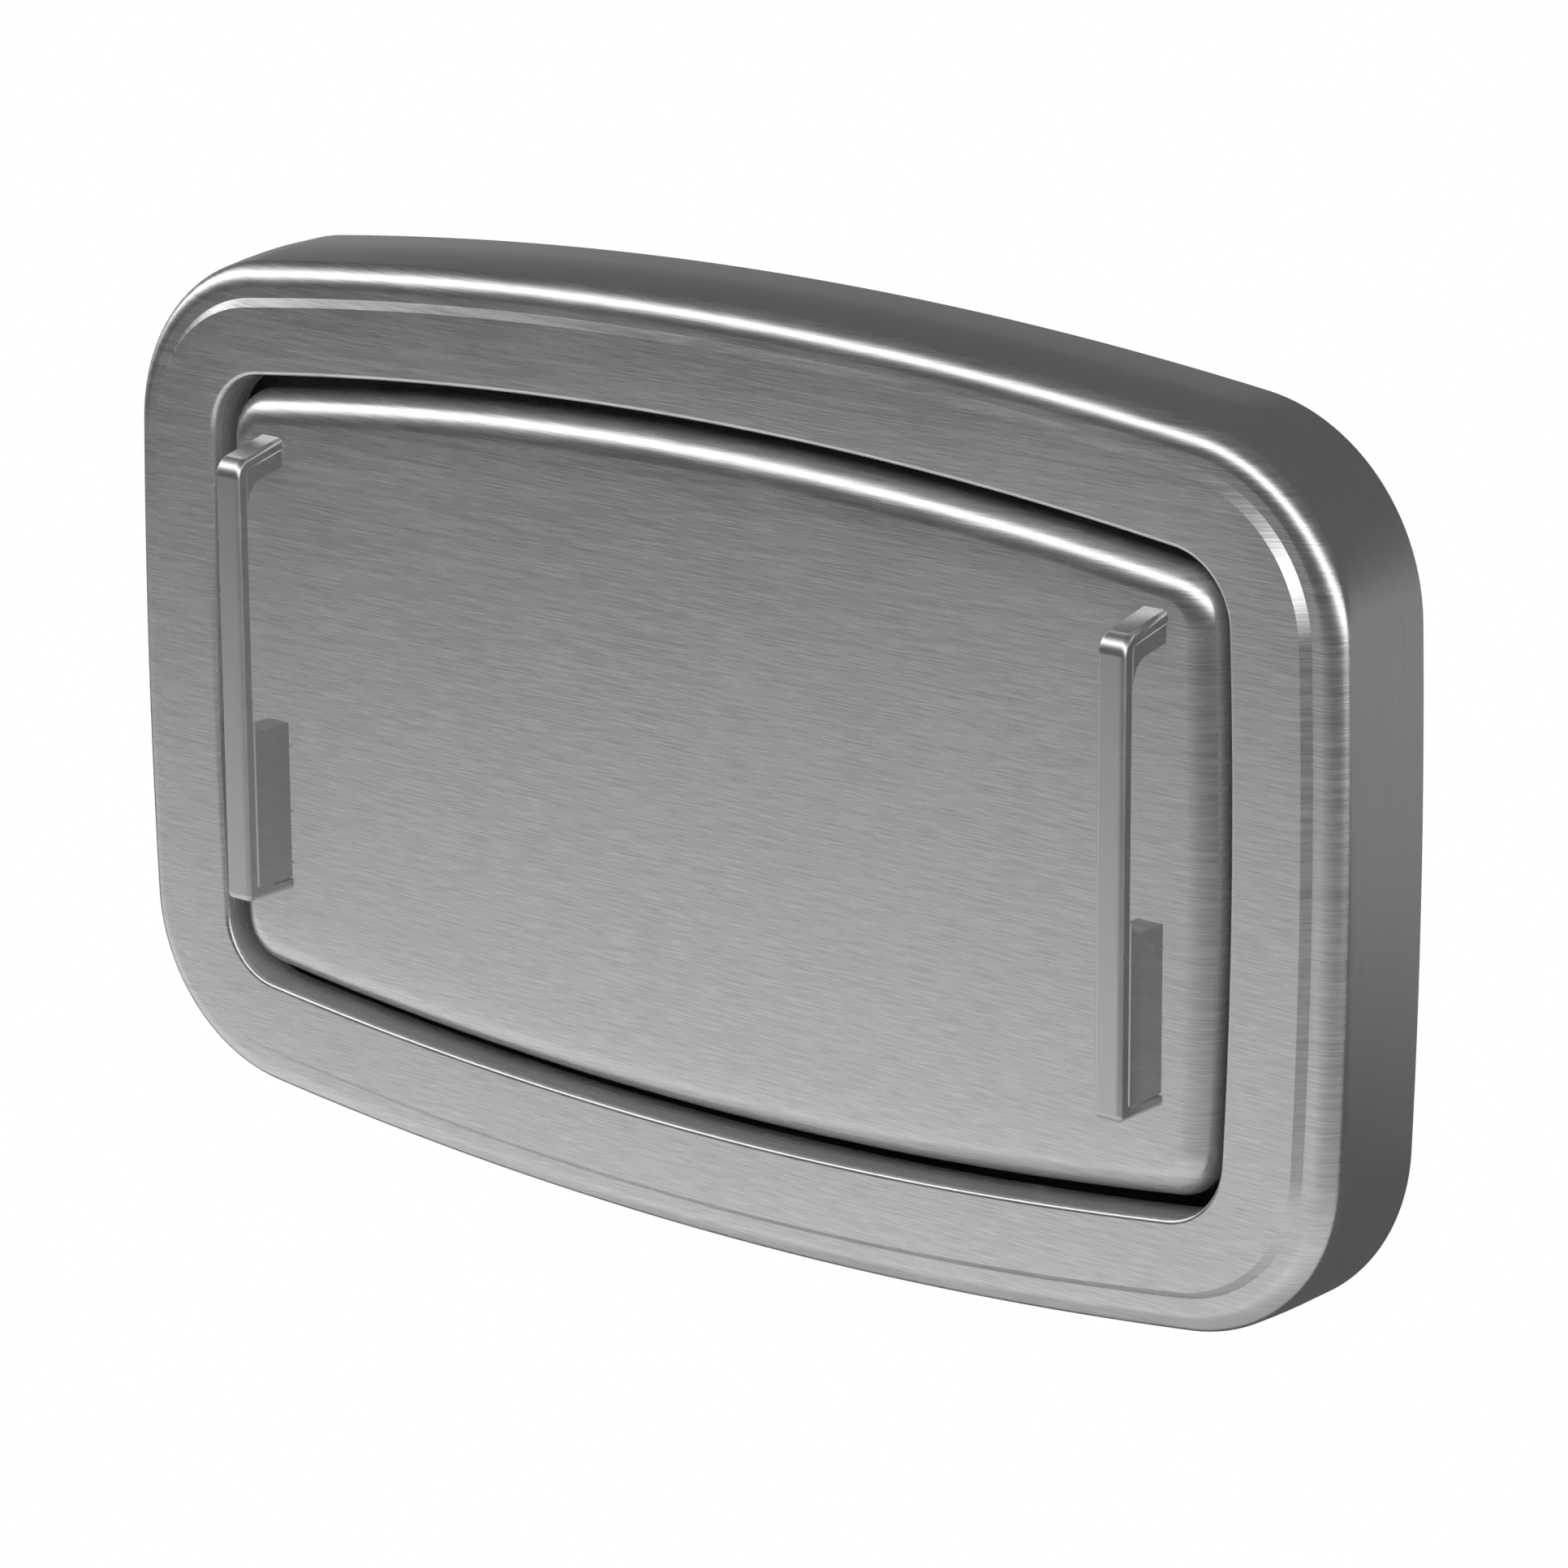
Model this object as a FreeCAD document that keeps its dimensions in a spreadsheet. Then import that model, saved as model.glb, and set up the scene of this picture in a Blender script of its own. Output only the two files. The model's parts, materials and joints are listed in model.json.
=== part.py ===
"""Surface-mounted baby changing station with a fold-down bed, built as separate pieces.

The wall face is the plane Y = 0, the front faces -Y, +X is to the right seen from the front and +Z is
up. Lengths called forward are measured from the wall face towards the front.
"""

import FreeCAD, Part
import math
import os
import re
import Sketcher

doc = FreeCAD.newDocument("ChangingStation")

# Driving dimensions, in millimetres, degrees and counts
SIZES = {
    # casing surround
    "casing_width": 960.0,
    "casing_height": 607.0,
    "casing_depth": 88.0,
    "casing_side_bow": 10.0,
    "casing_top_bow": 38.0,
    "casing_corner": 126.0,
    "casing_sheet": 1.5,
    "rim_setback": 5.0,
    "rim_roll": 15.0,
    "face_margin_side": 24.5,
    "face_margin_top": 30.5,
    "face_corner": 101.5,
    "bevel_width": 5.5,
    # opening in the surround
    "opening_width": 820.0,
    "opening_height": 457.0,
    "opening_side_bow": 7.5,
    "opening_top_bow": 28.4,
    "opening_corner": 45.0,
    "opening_return": 30.0,
    "opening_edge": 2.4,
    # stainless front of the bed
    "door_gap_side": 13.0,
    "door_gap_top": 11.0,
    "door_corner": 33.0,
    "door_roll": 22.0,
    "door_sheet": 1.2,
    "door_return": 30.0,
    # handles
    "handle_spacing": 700.0,
    "handle_width": 20.0,
    "handle_reach": 42.0,
    "handle_bar": 8.0,
    "handle_bottom": -134.5,
    "handle_front_top": 157.5,
    "handle_root_top": 167.0,
    "handle_root_under": 147.6,
    "handle_front_under": 141.5,
    "handle_web_top": -22.0,
    "handle_border": 7.0,
    "handle_recess": 1.3,
    "handle_front_round": 13.0,
    "handle_foot_round": 5.0,
    "handle_finger_round": 14.0,
    "handle_web_round": 8.0,
    "handle_root_round": 3.0,
    "handle_edge_round": 2.4,
    "handle_panel_round": 4.0,
    "handle_screw_inset": 9.0,
    "handle_screw_spacing": 44.0,
    # rear pan, mounting plates and wall bolts
    "pan_sheet": 1.5,
    "pan_flange": 26.0,
    "pan_clearance": 0.4,
    "stud_spacing": 406.4,
    "plate_width": 60.0,
    "plate_sheet": 3.0,
    "plate_top": 235.0,
    "plate_bottom": -232.0,
    "wall_bolt_spacing": 400.0,
    "wall_bolt_radius": 5.0,
    # hinge
    "hinge_forward": 68.0,
    "hinge_height": -178.0,
    "hinge_length": 560.0,
    "knuckle_count": 11,
    "knuckle_radius": 7.0,
    "knuckle_gap": 0.5,
    "pin_radius": 3.5,
    "pin_clearance": 0.05,
    "pin_overhang": 6.0,
    "pin_head_radius": 5.5,
    "pin_head": 2.5,
    "leaf_sheet": 2.0,
    "leaf_start": 8.0,
    "leaf_width": 35.0,
    "rail_sheet": 2.5,
    "rail_height": 22.0,
    "rail_web_rise": 15.0,
    "bed_channel_drop": -2.0,
    "bed_channel_sheet": 2.0,
    "bed_channel_overhang": 5.0,
    # stop lugs
    "lug_spread": 380.0,
    "lug_sheet": 4.0,
    "lug_seat": 0.3,
    "lug_reach_low": 29.0,
    "lug_reach_high": 13.0,
    "lug_toe": 6.0,
    "lug_heel": 17.0,
    "lug_heel_drop": 16.0,
    "lug_neck": 10.0,
    # moulded inner panel
    "panel_back": 12.0,
    "panel_wall": 3.0,
    "panel_width": 868.0,
    "panel_top_gap": 55.5,
    "panel_bottom": -139.0,
    "panel_corner": 60.0,
    "panel_post_radius": 9.0,
    "panel_post_rise": 170.0,
    "panel_post_drop": -112.0,
    # moulded bed
    "tray_width": 716.0,
    "tray_bottom": -134.0,
    "tray_top": 181.0,
    "tray_corner": 44.0,
    "tray_back": 24.0,
    "tray_front": 72.0,
    "tray_floor": 4.0,
    "tray_rim": 20.0,
    "tray_draft": 24.0,
    "tray_floor_round": 18.0,
    "tray_rim_round": 6.0,
    "tray_outer_round": 5.0,
    "tray_screw_middle": 24.0,
    "tray_screw_spacing": 110.0,
    # stiffening channels between the bed and its front
    "hat_offset": 222.0,
    "hat_width": 44.0,
    "hat_sheet": 1.5,
    "hat_low_end": -128.0,
    "hat_high_end": 178.0,
    "soft_gap": 0.3,
    # rubber stops
    "bumper_radius": 9.0,
    "bumper_spread": 500.0,
    "bumper_hole": 2.5,
    "bumper_hole_depth": 4.0,
    # gas spring
    "spring_side": 380.0,
    "spring_top_forward": 30.0,
    "spring_top_height": 150.0,
    "spring_arm_forward": 2.0,
    "spring_arm_up": 30.0,
    "spring_stroke": 36.3,
    "stud_radius": 4.0,
    "eye_radius": 7.5,
    "eye_width": 9.0,
    "tube_radius": 9.0,
    "tube_wall": 1.5,
    "tube_start": 15.0,
    "tube_length": 222.0,
    "tube_cap": 8.0,
    "rod_radius": 4.0,
    "piston_radius": 7.3,
    "piston_length": 10.0,
    "piston_start": 46.0,
    "bracket_sheet": 3.0,
    "bracket_half": 11.0,
    "bracket_foot": 26.0,
    "bracket_margin": 2.0,
    "stud_washer_radius": 6.5,
    "stud_washer": 1.6,
    # liner dispenser
    "liner_width": 300.0,
    "liner_bottom": -70.0,
    "liner_top": 26.0,
    "liner_front": 30.0,
    "liner_wall": 1.5,
    "liner_window_gap": 0.4,
    "liner_cover_gap": 0.4,
    "liner_cover_sheet": 1.8,
    "liner_slot_width": 170.0,
    "liner_slot_height": 22.0,
    "liner_slot_rise": 34.0,
    "liner_pin_radius": 1.5,
    "liner_pin_drop": 4.5,
    "liner_knuckle_radius": 3.4,
    "liner_knuckle_length": 40.0,
    "liner_ear": 8.0,
    "lock_drop": 11.0,
    "lock_radius": 7.0,
    "lock_head_radius": 9.0,
    "lock_head": 1.5,
    "lock_depth": 8.0,
    "lock_core_radius": 4.5,
    "lock_core_gap": 0.1,
    "lock_key_width": 1.2,
    "lock_key_height": 5.0,
    "lock_key_depth": 4.0,
    "cam_length": 18.0,
    "cam_width": 9.0,
    "cam_sheet": 2.0,
    "keeper_offset": 9.5,
    "keeper_width": 12.0,
    "keeper_drop": 14.0,
    "keeper_gap": 0.6,
    # harness strap across the bed
    "strap_width": 38.0,
    "strap_sheet": 1.6,
    "strap_lift": 0.3,
    "anchor_low_height": -66.0,
    "anchor_high_height": 116.0,
    "anchor_width": 52.0,
    "anchor_height": 18.0,
    "anchor_sheet": 2.0,
    "buckle_low_end": 42.0,
    "buckle_receiver_length": 26.0,
    "buckle_plug_length": 30.0,
    "buckle_width": 48.0,
    "buckle_neck": 30.0,
    "buckle_thick": 11.0,
    "buckle_round": 3.0,
    "tail_end": -36.0,
    # screws
    "screw_radius": 3.0,
    "screw_head_radius": 5.5,
    "screw_head": 3.0,
    "screw_reach": 10.0,
    "screw_fit": 0.05,
    "low_head": 1.8,
    "casing_screw_spread": 250.0,
    "casing_screw_forward": 14.0,
    # hook that hangs the surround on the pan
    "hook_width": 60.0,
    "hook_height": 6.0,
    "hook_front": 45.0,
    "hook_back": 10.0,
    "hook_seat": 0.2,
    "cut_overrun": 4.0,
}

sheet = doc.addObject("Spreadsheet::Sheet", "Sizes")
for row, (alias, value) in enumerate(SIZES.items(), start=1):
    sheet.set("A%d" % row, alias)
    sheet.set("B%d" % row, str(value))
    sheet.setAlias("B%d" % row, alias)
doc.recompute()

WORD = re.compile(r"[a-z]+(?:_[a-z]+)+")
nodes = []


def bound(text):
    """Return an expression with each size word pointing at its cell."""
    return WORD.sub(lambda found: "Sizes." + found.group(0), text)


def number(text):
    """Return the present value of an expression of sizes."""
    return float(sheet.evalExpression(bound(text)))


def bind(target, prop, text):
    """Tie a property of an object to an expression of sizes."""
    target.setExpression(prop, bound(text))


def keep(thing, label):
    """Give a finished sub-part its node name."""
    thing.Label = label
    nodes.append(thing)
    return thing


# Expressions shared by several pieces
PAN_INSET = "(casing_sheet + pan_clearance)"
OPENING = ("(opening_width / 2)", "(opening_height / 2)", "opening_side_bow", "opening_top_bow",
           "opening_corner")
CASING = ("(casing_width / 2)", "(casing_height / 2)", "casing_side_bow", "casing_top_bow",
          "casing_corner")
FACE = ("(casing_width / 2 - face_margin_side)", "(casing_height / 2 - face_margin_top)",
        "casing_side_bow", "casing_top_bow", "face_corner")
DOOR = ("(opening_width / 2 - door_gap_side)", "(opening_height / 2 - door_gap_top)",
        "opening_side_bow", "opening_top_bow", "door_corner")
RIM = "(casing_depth - rim_setback)"
SKIN_BACK = "(casing_depth - door_sheet)"
PLATE_FRONT = "(pan_sheet + plate_sheet)"
PANEL_FRONT = "(panel_back + panel_wall)"
PANEL_TOP = "(casing_height / 2 - panel_top_gap)"
RAIL_BASE = "(hinge_height + rail_web_rise)"
LEAF_FRONT = "(hinge_forward - knuckle_radius)"
SPRING_LOW_FORWARD = "(hinge_forward + spring_arm_forward)"
SPRING_LOW_HEIGHT = "(hinge_height + spring_arm_up)"
SPRING_RUN = "(%s - spring_top_forward)" % SPRING_LOW_FORWARD
SPRING_FALL = "(spring_top_height - %s)" % SPRING_LOW_HEIGHT
SPRING_LENGTH = "sqrt(%s ^ 2 + %s ^ 2)" % (SPRING_RUN, SPRING_FALL)
TRAY_FLOOR = "(tray_front - tray_floor)"


def origin_plane(body, role):
    """Return one of a body's own origin planes."""
    return [item for item in body.Origin.OriginFeatures if item.Role == role][0]


def new_body(name):
    """Add an empty body."""
    return doc.addObject("PartDesign::Body", name)


def front_sketch(body, forward):
    """Add a sketch that faces the front, at a distance forward of the wall face."""
    sketch = body.newObject("Sketcher::SketchObject", "Outline")
    sketch.AttachmentSupport = (origin_plane(body, "XZ_Plane"), "")
    sketch.MapMode = "FlatFace"
    bind(sketch, "AttachmentOffset.Base.z", forward)
    return sketch


def side_sketch(body, across):
    """Add a sketch that faces +X, at a distance across; its x axis is Y and its y axis is Z."""
    sketch = body.newObject("Sketcher::SketchObject", "Profile")
    sketch.AttachmentSupport = (origin_plane(body, "YZ_Plane"), "")
    sketch.MapMode = "FlatFace"
    bind(sketch, "AttachmentOffset.Base.z", across)
    return sketch


def constrain(sketch, kind, *places, size=None):
    """Add a constraint, bound to an expression where it has a size."""
    if size is None:
        sketch.addConstraint(Sketcher.Constraint(kind, *places))
        return
    index = sketch.addConstraint(Sketcher.Constraint(kind, *places, number(size)))
    bind(sketch, "Constraints[%d]" % index, size)


def bowed_outline(sketch, family, inset):
    """Draw a rectangle with bowed sides and round corners, moved inwards by an inset."""
    half_width, half_height, side_bow, top_bow, corner = family
    top_full = "((%s ^ 2 + %s ^ 2) / (2 * %s))" % (half_width, top_bow, top_bow)
    side_full = "((%s ^ 2 + %s ^ 2) / (2 * %s))" % (half_height, side_bow, side_bow)
    top_radius = "(%s - %s)" % (top_full, inset)
    side_radius = "(%s - %s)" % (side_full, inset)
    corner_radius = "(%s - %s)" % (corner, inset)
    top_centre = "(%s - %s)" % (top_full, half_height)
    side_centre = "(%s - %s)" % (side_full, half_width)
    reach_top = number(top_full) - number(corner)
    reach_side = number(side_full) - number(corner)
    low, left = -number(top_centre), -number(side_centre)
    gap = math.hypot(low, left)
    along = (reach_top ** 2 - reach_side ** 2 + gap ** 2) / (2 * gap)
    aside = math.sqrt(reach_top ** 2 - along ** 2)
    step_x, step_z = left / gap, -low / gap
    corner_x = along * step_x + aside * step_z
    corner_z = low + along * step_z - aside * step_x
    lean_top = math.atan2(corner_x, corner_z - low)
    lean_side = math.atan2(corner_z, corner_x - left)
    quarter = math.pi / 2
    arcs = []
    for turn in range(4):
        start = turn * quarter
        flat = turn % 2 == 0
        sign = 1 if turn < 2 else -1
        centre = (sign * left, 0) if flat else (0, sign * low)
        radius = number(side_radius) if flat else number(top_radius)
        lean = lean_side if flat else lean_top
        arcs.append((centre, radius, start - lean, start + lean))
        next_lean = lean_top if flat else lean_side
        side_x = 1 if turn in (0, 3) else -1
        side_z = 1 if turn in (0, 1) else -1
        corner_centre = (side_x * corner_x, side_z * corner_z)
        arcs.append((corner_centre, number(corner_radius), start + lean, start + quarter - next_lean))
    first = sketch.GeometryCount
    for centre, radius, start, end in arcs:
        circle = Part.Circle(FreeCAD.Vector(centre[0], centre[1], 0), FreeCAD.Vector(0, 0, 1), radius)
        sketch.addGeometry(Part.ArcOfCircle(circle, start, end), False)
    for place in range(len(arcs)):
        following = first + (place + 1) % len(arcs)
        constrain(sketch, "Tangent", first + place, 2, following, 1)
    for place in (0, 4):
        constrain(sketch, "PointOnObject", first + place, 3, -1)
        constrain(sketch, "Radius", first + place, size=side_radius)
    for place in (2, 6):
        constrain(sketch, "PointOnObject", first + place, 3, -2)
        constrain(sketch, "Radius", first + place, size=top_radius)
    for place in (1, 3, 5, 7):
        constrain(sketch, "Radius", first + place, size=corner_radius)
    constrain(sketch, "DistanceX", first, 3, -1, 1, size=side_centre)
    constrain(sketch, "DistanceX", -1, 1, first + 4, 3, size=side_centre)
    constrain(sketch, "DistanceY", first + 2, 3, -1, 1, size=top_centre)
    constrain(sketch, "DistanceY", -1, 1, first + 6, 3, size=top_centre)


def place_point(sketch, geometry, end, across, up):
    """Hold a point of a sketch at two expressions of sizes."""
    for kind, axis, size in (("DistanceX", -2, across), ("DistanceY", -1, up)):
        value = number(size)
        if abs(value) < 1e-9:
            constrain(sketch, "PointOnObject", geometry, end, axis)
        elif value > 0:
            constrain(sketch, kind, -1, 1, geometry, end, size=size)
        else:
            constrain(sketch, kind, geometry, end, -1, 1, size="-(%s)" % size)


def polygon(sketch, corners):
    """Draw a closed polygon through corners given as pairs of expressions."""
    points = [FreeCAD.Vector(number(across), number(up), 0) for across, up in corners]
    first = sketch.GeometryCount
    count = len(points)
    for place in range(count):
        sketch.addGeometry(Part.LineSegment(points[place], points[(place + 1) % count]), False)
    for place in range(count):
        constrain(sketch, "Coincident", first + place, 2, first + (place + 1) % count, 1)
        place_point(sketch, first + place, 1, *corners[place])


def circle_at(sketch, across, up, radius):
    """Draw a circle at a place given as two expressions."""
    middle = FreeCAD.Vector(number(across), number(up), 0)
    index = sketch.addGeometry(Part.Circle(middle, FreeCAD.Vector(0, 0, 1), number(radius)), False)
    constrain(sketch, "Radius", index, size=radius)
    place_point(sketch, index, 3, across, up)


def pad(body, sketch, length, taper=None):
    """Pad a sketch along its normal."""
    feature = body.newObject("PartDesign::Pad", "Pad")
    feature.Profile = sketch
    bind(feature, "Length", length)
    if taper:
        bind(feature, "TaperAngle", taper)
    sketch.Visibility = False
    doc.recompute()
    return feature


def centred_pad(body, sketch, length):
    """Pad a sketch by the same amount to both sides."""
    feature = pad(body, sketch, length)
    feature.Midplane = True
    doc.recompute()
    return feature


def pocket(body, sketch, depth, forwards, taper=None):
    """Cut a sketch's outline out of a body, and see that it really cut."""
    before = body.Shape.Volume
    feature = body.newObject("PartDesign::Pocket", "Pocket")
    feature.Profile = sketch
    bind(feature, "Length", depth)
    feature.Reversed = forwards
    if taper:
        bind(feature, "TaperAngle", taper)
    doc.recompute()
    if body.Shape.Volume >= before:
        raise RuntimeError("a pocket of %s cut nothing" % body.Name)
    return feature


def subtract(body, tool):
    """Cut a whole body out of another, and see that it really cut."""
    before = body.Shape.Volume
    feature = body.newObject("PartDesign::Boolean", "Boolean")
    feature.Type = "Cut"
    feature.setObjects([tool])
    doc.recompute()
    if body.Shape.Volume >= before:
        raise RuntimeError("a body cut nothing from %s" % body.Name)
    return feature


def round_edges(body, base, radius, wanted):
    """Fillet the edges of a feature for which wanted(edge) holds."""
    names = ["Edge%d" % (place + 1) for place, edge in enumerate(base.Shape.Edges) if wanted(edge)]
    if not names:
        raise RuntimeError("no edge to round on %s" % body.Name)
    feature = body.newObject("PartDesign::Fillet", "Fillet")
    feature.Base = (base, names)
    bind(feature, "Radius", radius)
    doc.recompute()
    return feature


def at_forward(distance):
    """Return a test for edges that lie wholly at one distance from the wall."""
    place = -number(distance)

    def test(edge):
        box = edge.BoundBox
        return abs(box.YMin - place) < 1e-4 and abs(box.YMax - place) < 1e-4
    return test


def along_y(across, up):
    """Return a test for a straight edge along Y at one place of a front view."""
    wanted = (number(across), number(up))

    def test(edge):
        box = edge.BoundBox
        straight = box.XLength < 1e-4 and box.ZLength < 1e-4
        return straight and math.hypot(box.XMin - wanted[0], box.ZMin - wanted[1]) < 1e-3
    return test


def along_x(forward, up):
    """Return a test for a straight edge along X at one place of a side view."""
    wanted = (-number(forward), number(up))

    def test(edge):
        box = edge.BoundBox
        straight = box.YLength < 1e-4 and box.ZLength < 1e-4
        return straight and math.hypot(box.YMin - wanted[0], box.ZMin - wanted[1]) < 1e-3
    return test


def box(name, left, right, back, front, low, high):
    """Add a box between six expressions; back and front are distances from the wall."""
    thing = doc.addObject("Part::Box", name)
    bind(thing, "Length", "(%s) - (%s)" % (right, left))
    bind(thing, "Width", "(%s) - (%s)" % (front, back))
    bind(thing, "Height", "(%s) - (%s)" % (high, low))
    bind(thing, "Placement.Base.x", left)
    bind(thing, "Placement.Base.y", "-(%s)" % front)
    bind(thing, "Placement.Base.z", low)
    return thing


TURNS = {"x": FreeCAD.Rotation(FreeCAD.Vector(0, 1, 0), 90),
         "y": FreeCAD.Rotation(FreeCAD.Vector(1, 0, 0), 90),
         "z": FreeCAD.Rotation()}


def rod(name, axis, across, forward, up, radius, length):
    """Add a cylinder that starts at a place and runs to +X, to the front or to +Z."""
    thing = doc.addObject("Part::Cylinder", name)
    bind(thing, "Radius", radius)
    bind(thing, "Height", length)
    thing.Placement = FreeCAD.Placement(FreeCAD.Vector(), TURNS[axis])
    bind(thing, "Placement.Base.x", across)
    bind(thing, "Placement.Base.y", "-(%s)" % forward)
    bind(thing, "Placement.Base.z", up)
    return thing


def fuse(name, pieces):
    """Join pieces into one solid."""
    thing = doc.addObject("Part::MultiFuse", name)
    thing.Shapes = pieces
    thing.Refine = True
    return thing


def cut(name, base, tool):
    """Cut one piece out of another."""
    thing = doc.addObject("Part::Cut", name)
    thing.Base = base
    thing.Tool = tool
    return thing


def group(name, pieces):
    """Put separate solids into one node."""
    thing = doc.addObject("Part::Compound", name)
    thing.Links = pieces
    return thing


def drilled(name, base, holes):
    """Cut a set of round holes out of a piece."""
    return cut(name, base, holes[0] if len(holes) == 1 else group(name + "_holes", holes))


def build_surround():
    """Front casing: rolled rim, raised face, opening and its return wall, all of one sheet."""
    body = new_body("Surround")
    outline = front_sketch(body, "0")
    bowed_outline(outline, CASING, "0")
    shell = pad(body, outline, RIM)
    round_edges(body, shell, "rim_roll", at_forward(RIM))
    raised = front_sketch(body, RIM)
    bowed_outline(raised, FACE, "(-bevel_width)")
    pad(body, raised, "rim_setback", "-atan(bevel_width / rim_setback)")
    inside = new_body("SurroundInside")
    hollow = front_sketch(inside, "0")
    bowed_outline(hollow, CASING, "casing_sheet")
    block = pad(inside, hollow, "%s - casing_sheet" % RIM)
    round_edges(inside, block, "rim_roll - casing_sheet", at_forward("%s - casing_sheet" % RIM))
    relief = front_sketch(inside, "%s - casing_sheet" % RIM)
    bowed_outline(relief, FACE, "casing_sheet")
    pad(inside, relief, "rim_setback")
    subtract(body, inside)
    wall = front_sketch(body, "casing_depth - opening_return")
    bowed_outline(wall, OPENING, "(-casing_sheet)")
    bowed_outline(wall, OPENING, "0")
    pad(body, wall, "opening_return - casing_sheet / 2")
    window = front_sketch(body, "casing_depth - opening_return - cut_overrun")
    bowed_outline(window, OPENING, "0")
    opened = pocket(body, window, "opening_return + 2 * cut_overrun", True)
    limit = number("opening_width / 2") + number("casing_sheet") / 2
    at_face = at_forward("casing_depth")
    round_edges(body, opened, "opening_edge / 2",
                lambda edge: at_face(edge) and abs(edge.CenterOfMass.x) < limit
                and abs(edge.CenterOfMass.z) < number("opening_height / 2 + casing_sheet / 2"))
    return keep(body, "surround")


def build_back_pan():
    """Rear tray that is bolted to the wall, with a flange that the surround slides over."""
    body = new_body("BackPan")
    outline = front_sketch(body, "0")
    bowed_outline(outline, CASING, PAN_INSET)
    pad(body, outline, "pan_flange")
    hollow = front_sketch(body, "pan_sheet")
    bowed_outline(hollow, CASING, "(%s + pan_sheet)" % PAN_INSET)
    pocket(body, hollow, "pan_flange", True)
    holes = front_sketch(body, "0")
    for across in ("-stud_spacing / 2", "stud_spacing / 2"):
        for up in ("-wall_bolt_spacing / 2", "wall_bolt_spacing / 2"):
            circle_at(holes, across, up, "wall_bolt_radius")
    pocket(body, holes, "pan_sheet", True)
    return keep(body, "back_pan")


def build_mounting_plates():
    """Two thick strips on the wall studs that carry the hinge rail."""
    strips = []
    for name, side in (("left", "-"), ("right", "")):
        middle = "%s(stud_spacing / 2)" % side
        strip = box("MountingStrip_" + name, "%s - plate_width / 2" % middle,
                    "%s + plate_width / 2" % middle, "pan_sheet", PLATE_FRONT, "plate_bottom",
                    "plate_top")
        holes = [rod("StripHole_%s_%s" % (name, level), "y", middle, "pan_sheet - cut_overrun",
                     "%s(wall_bolt_spacing / 2)" % sign, "wall_bolt_radius",
                     "plate_sheet + 2 * cut_overrun")
                 for level, sign in (("low", "-"), ("high", ""))]
        strips.append(drilled("Strip_" + name, strip, holes))
    return keep(group("MountingPlates", strips), "mounting_plates")


def knuckles(name, parity):
    """Return the knuckle rings and tabs of one leaf; the leaves take turns along the pin."""
    pieces = []
    back = "(%s - leaf_sheet)" if parity == "even" else "(%s)"
    back = back % ("hinge_forward - knuckle_radius + leaf_sheet" if parity == "even"
                   else "hinge_forward + knuckle_radius - leaf_sheet")
    count = int(number("knuckle_count"))
    for place in range(0 if parity == "even" else 1, count, 2):
        left = "(hinge_length * (%d / knuckle_count - 1 / 2) + knuckle_gap / 2)" % place
        length = "(hinge_length / knuckle_count - knuckle_gap)"
        ring = rod("%sKnuckle%d" % (name, place), "x", left, "hinge_forward", "hinge_height",
                   "knuckle_radius", length)
        tab = box("%sTab%d" % (name, place), left, "%s + %s" % (left, length), back,
                  "%s + leaf_sheet" % back, "hinge_height", "hinge_height + leaf_start")
        pieces += [ring, tab]
    return pieces, back


def build_hinge_leaf(name, label, parity):
    """One half of the full-length hinge: a leaf above the pin with its knuckles."""
    pieces, back = knuckles(name, parity)
    leaf = box(name + "Plate", "-hinge_length / 2", "hinge_length / 2", back, "%s + leaf_sheet" % back,
               "hinge_height + leaf_start", "hinge_height + leaf_width")
    body = fuse(name + "Solid", [leaf] + pieces)
    bore = rod(name + "Bore", "x", "-hinge_length / 2 - cut_overrun", "hinge_forward", "hinge_height",
               "pin_radius", "hinge_length + 2 * cut_overrun")
    return keep(cut(name, body, bore), label)


def build_hinge_pin():
    """Hinge pin with a head at each end."""
    start = "-hinge_length / 2 - pin_overhang"
    shaft = rod("PinShaft", "x", start, "hinge_forward", "hinge_height", "pin_radius - pin_clearance",
                "hinge_length + 2 * pin_overhang")
    left = rod("PinHeadLeft", "x", "%s - pin_head" % start, "hinge_forward", "hinge_height",
               "pin_head_radius", "pin_head")
    right = rod("PinHeadRight", "x", "hinge_length / 2 + pin_overhang", "hinge_forward",
                "hinge_height", "pin_head_radius", "pin_head")
    return keep(fuse("HingePin", [shaft, left, right]), "hinge_pin")


def build_hinge_rail():
    """Upright channel from the mounting plates to the hinge."""
    half = "hinge_length / 2"
    top = "%s + rail_height" % RAIL_BASE
    web = box("RailWeb", "-" + half, half, PLATE_FRONT, LEAF_FRONT, RAIL_BASE,
              "%s + rail_sheet" % RAIL_BASE)
    back = box("RailBack", "-" + half, half, PLATE_FRONT, "%s + rail_sheet" % PLATE_FRONT, RAIL_BASE,
               top)
    front = box("RailFront", "-" + half, half, "%s - rail_sheet" % LEAF_FRONT, LEAF_FRONT, RAIL_BASE,
                top)
    holes = [rod("RailHole%d" % place, "y", across, "%s - cut_overrun" % PLATE_FRONT,
                 RAIL_SCREW_HEIGHT, "screw_radius", "rail_sheet + 2 * cut_overrun")
             for place, across in enumerate(RAIL_SCREW_PLACES)]
    return keep(drilled("HingeRail", fuse("RailSolid", [web, back, front]), holes), "hinge_rail")


RAIL_SCREW_PLACES = [("%s(stud_spacing / 2) + %s(plate_width / 4)" % (side, offset))
                     for side in ("-", "") for offset in ("-", "")]
RAIL_SCREW_HEIGHT = "(%s + rail_sheet + (rail_height - rail_sheet) / 2)" % RAIL_BASE


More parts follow.
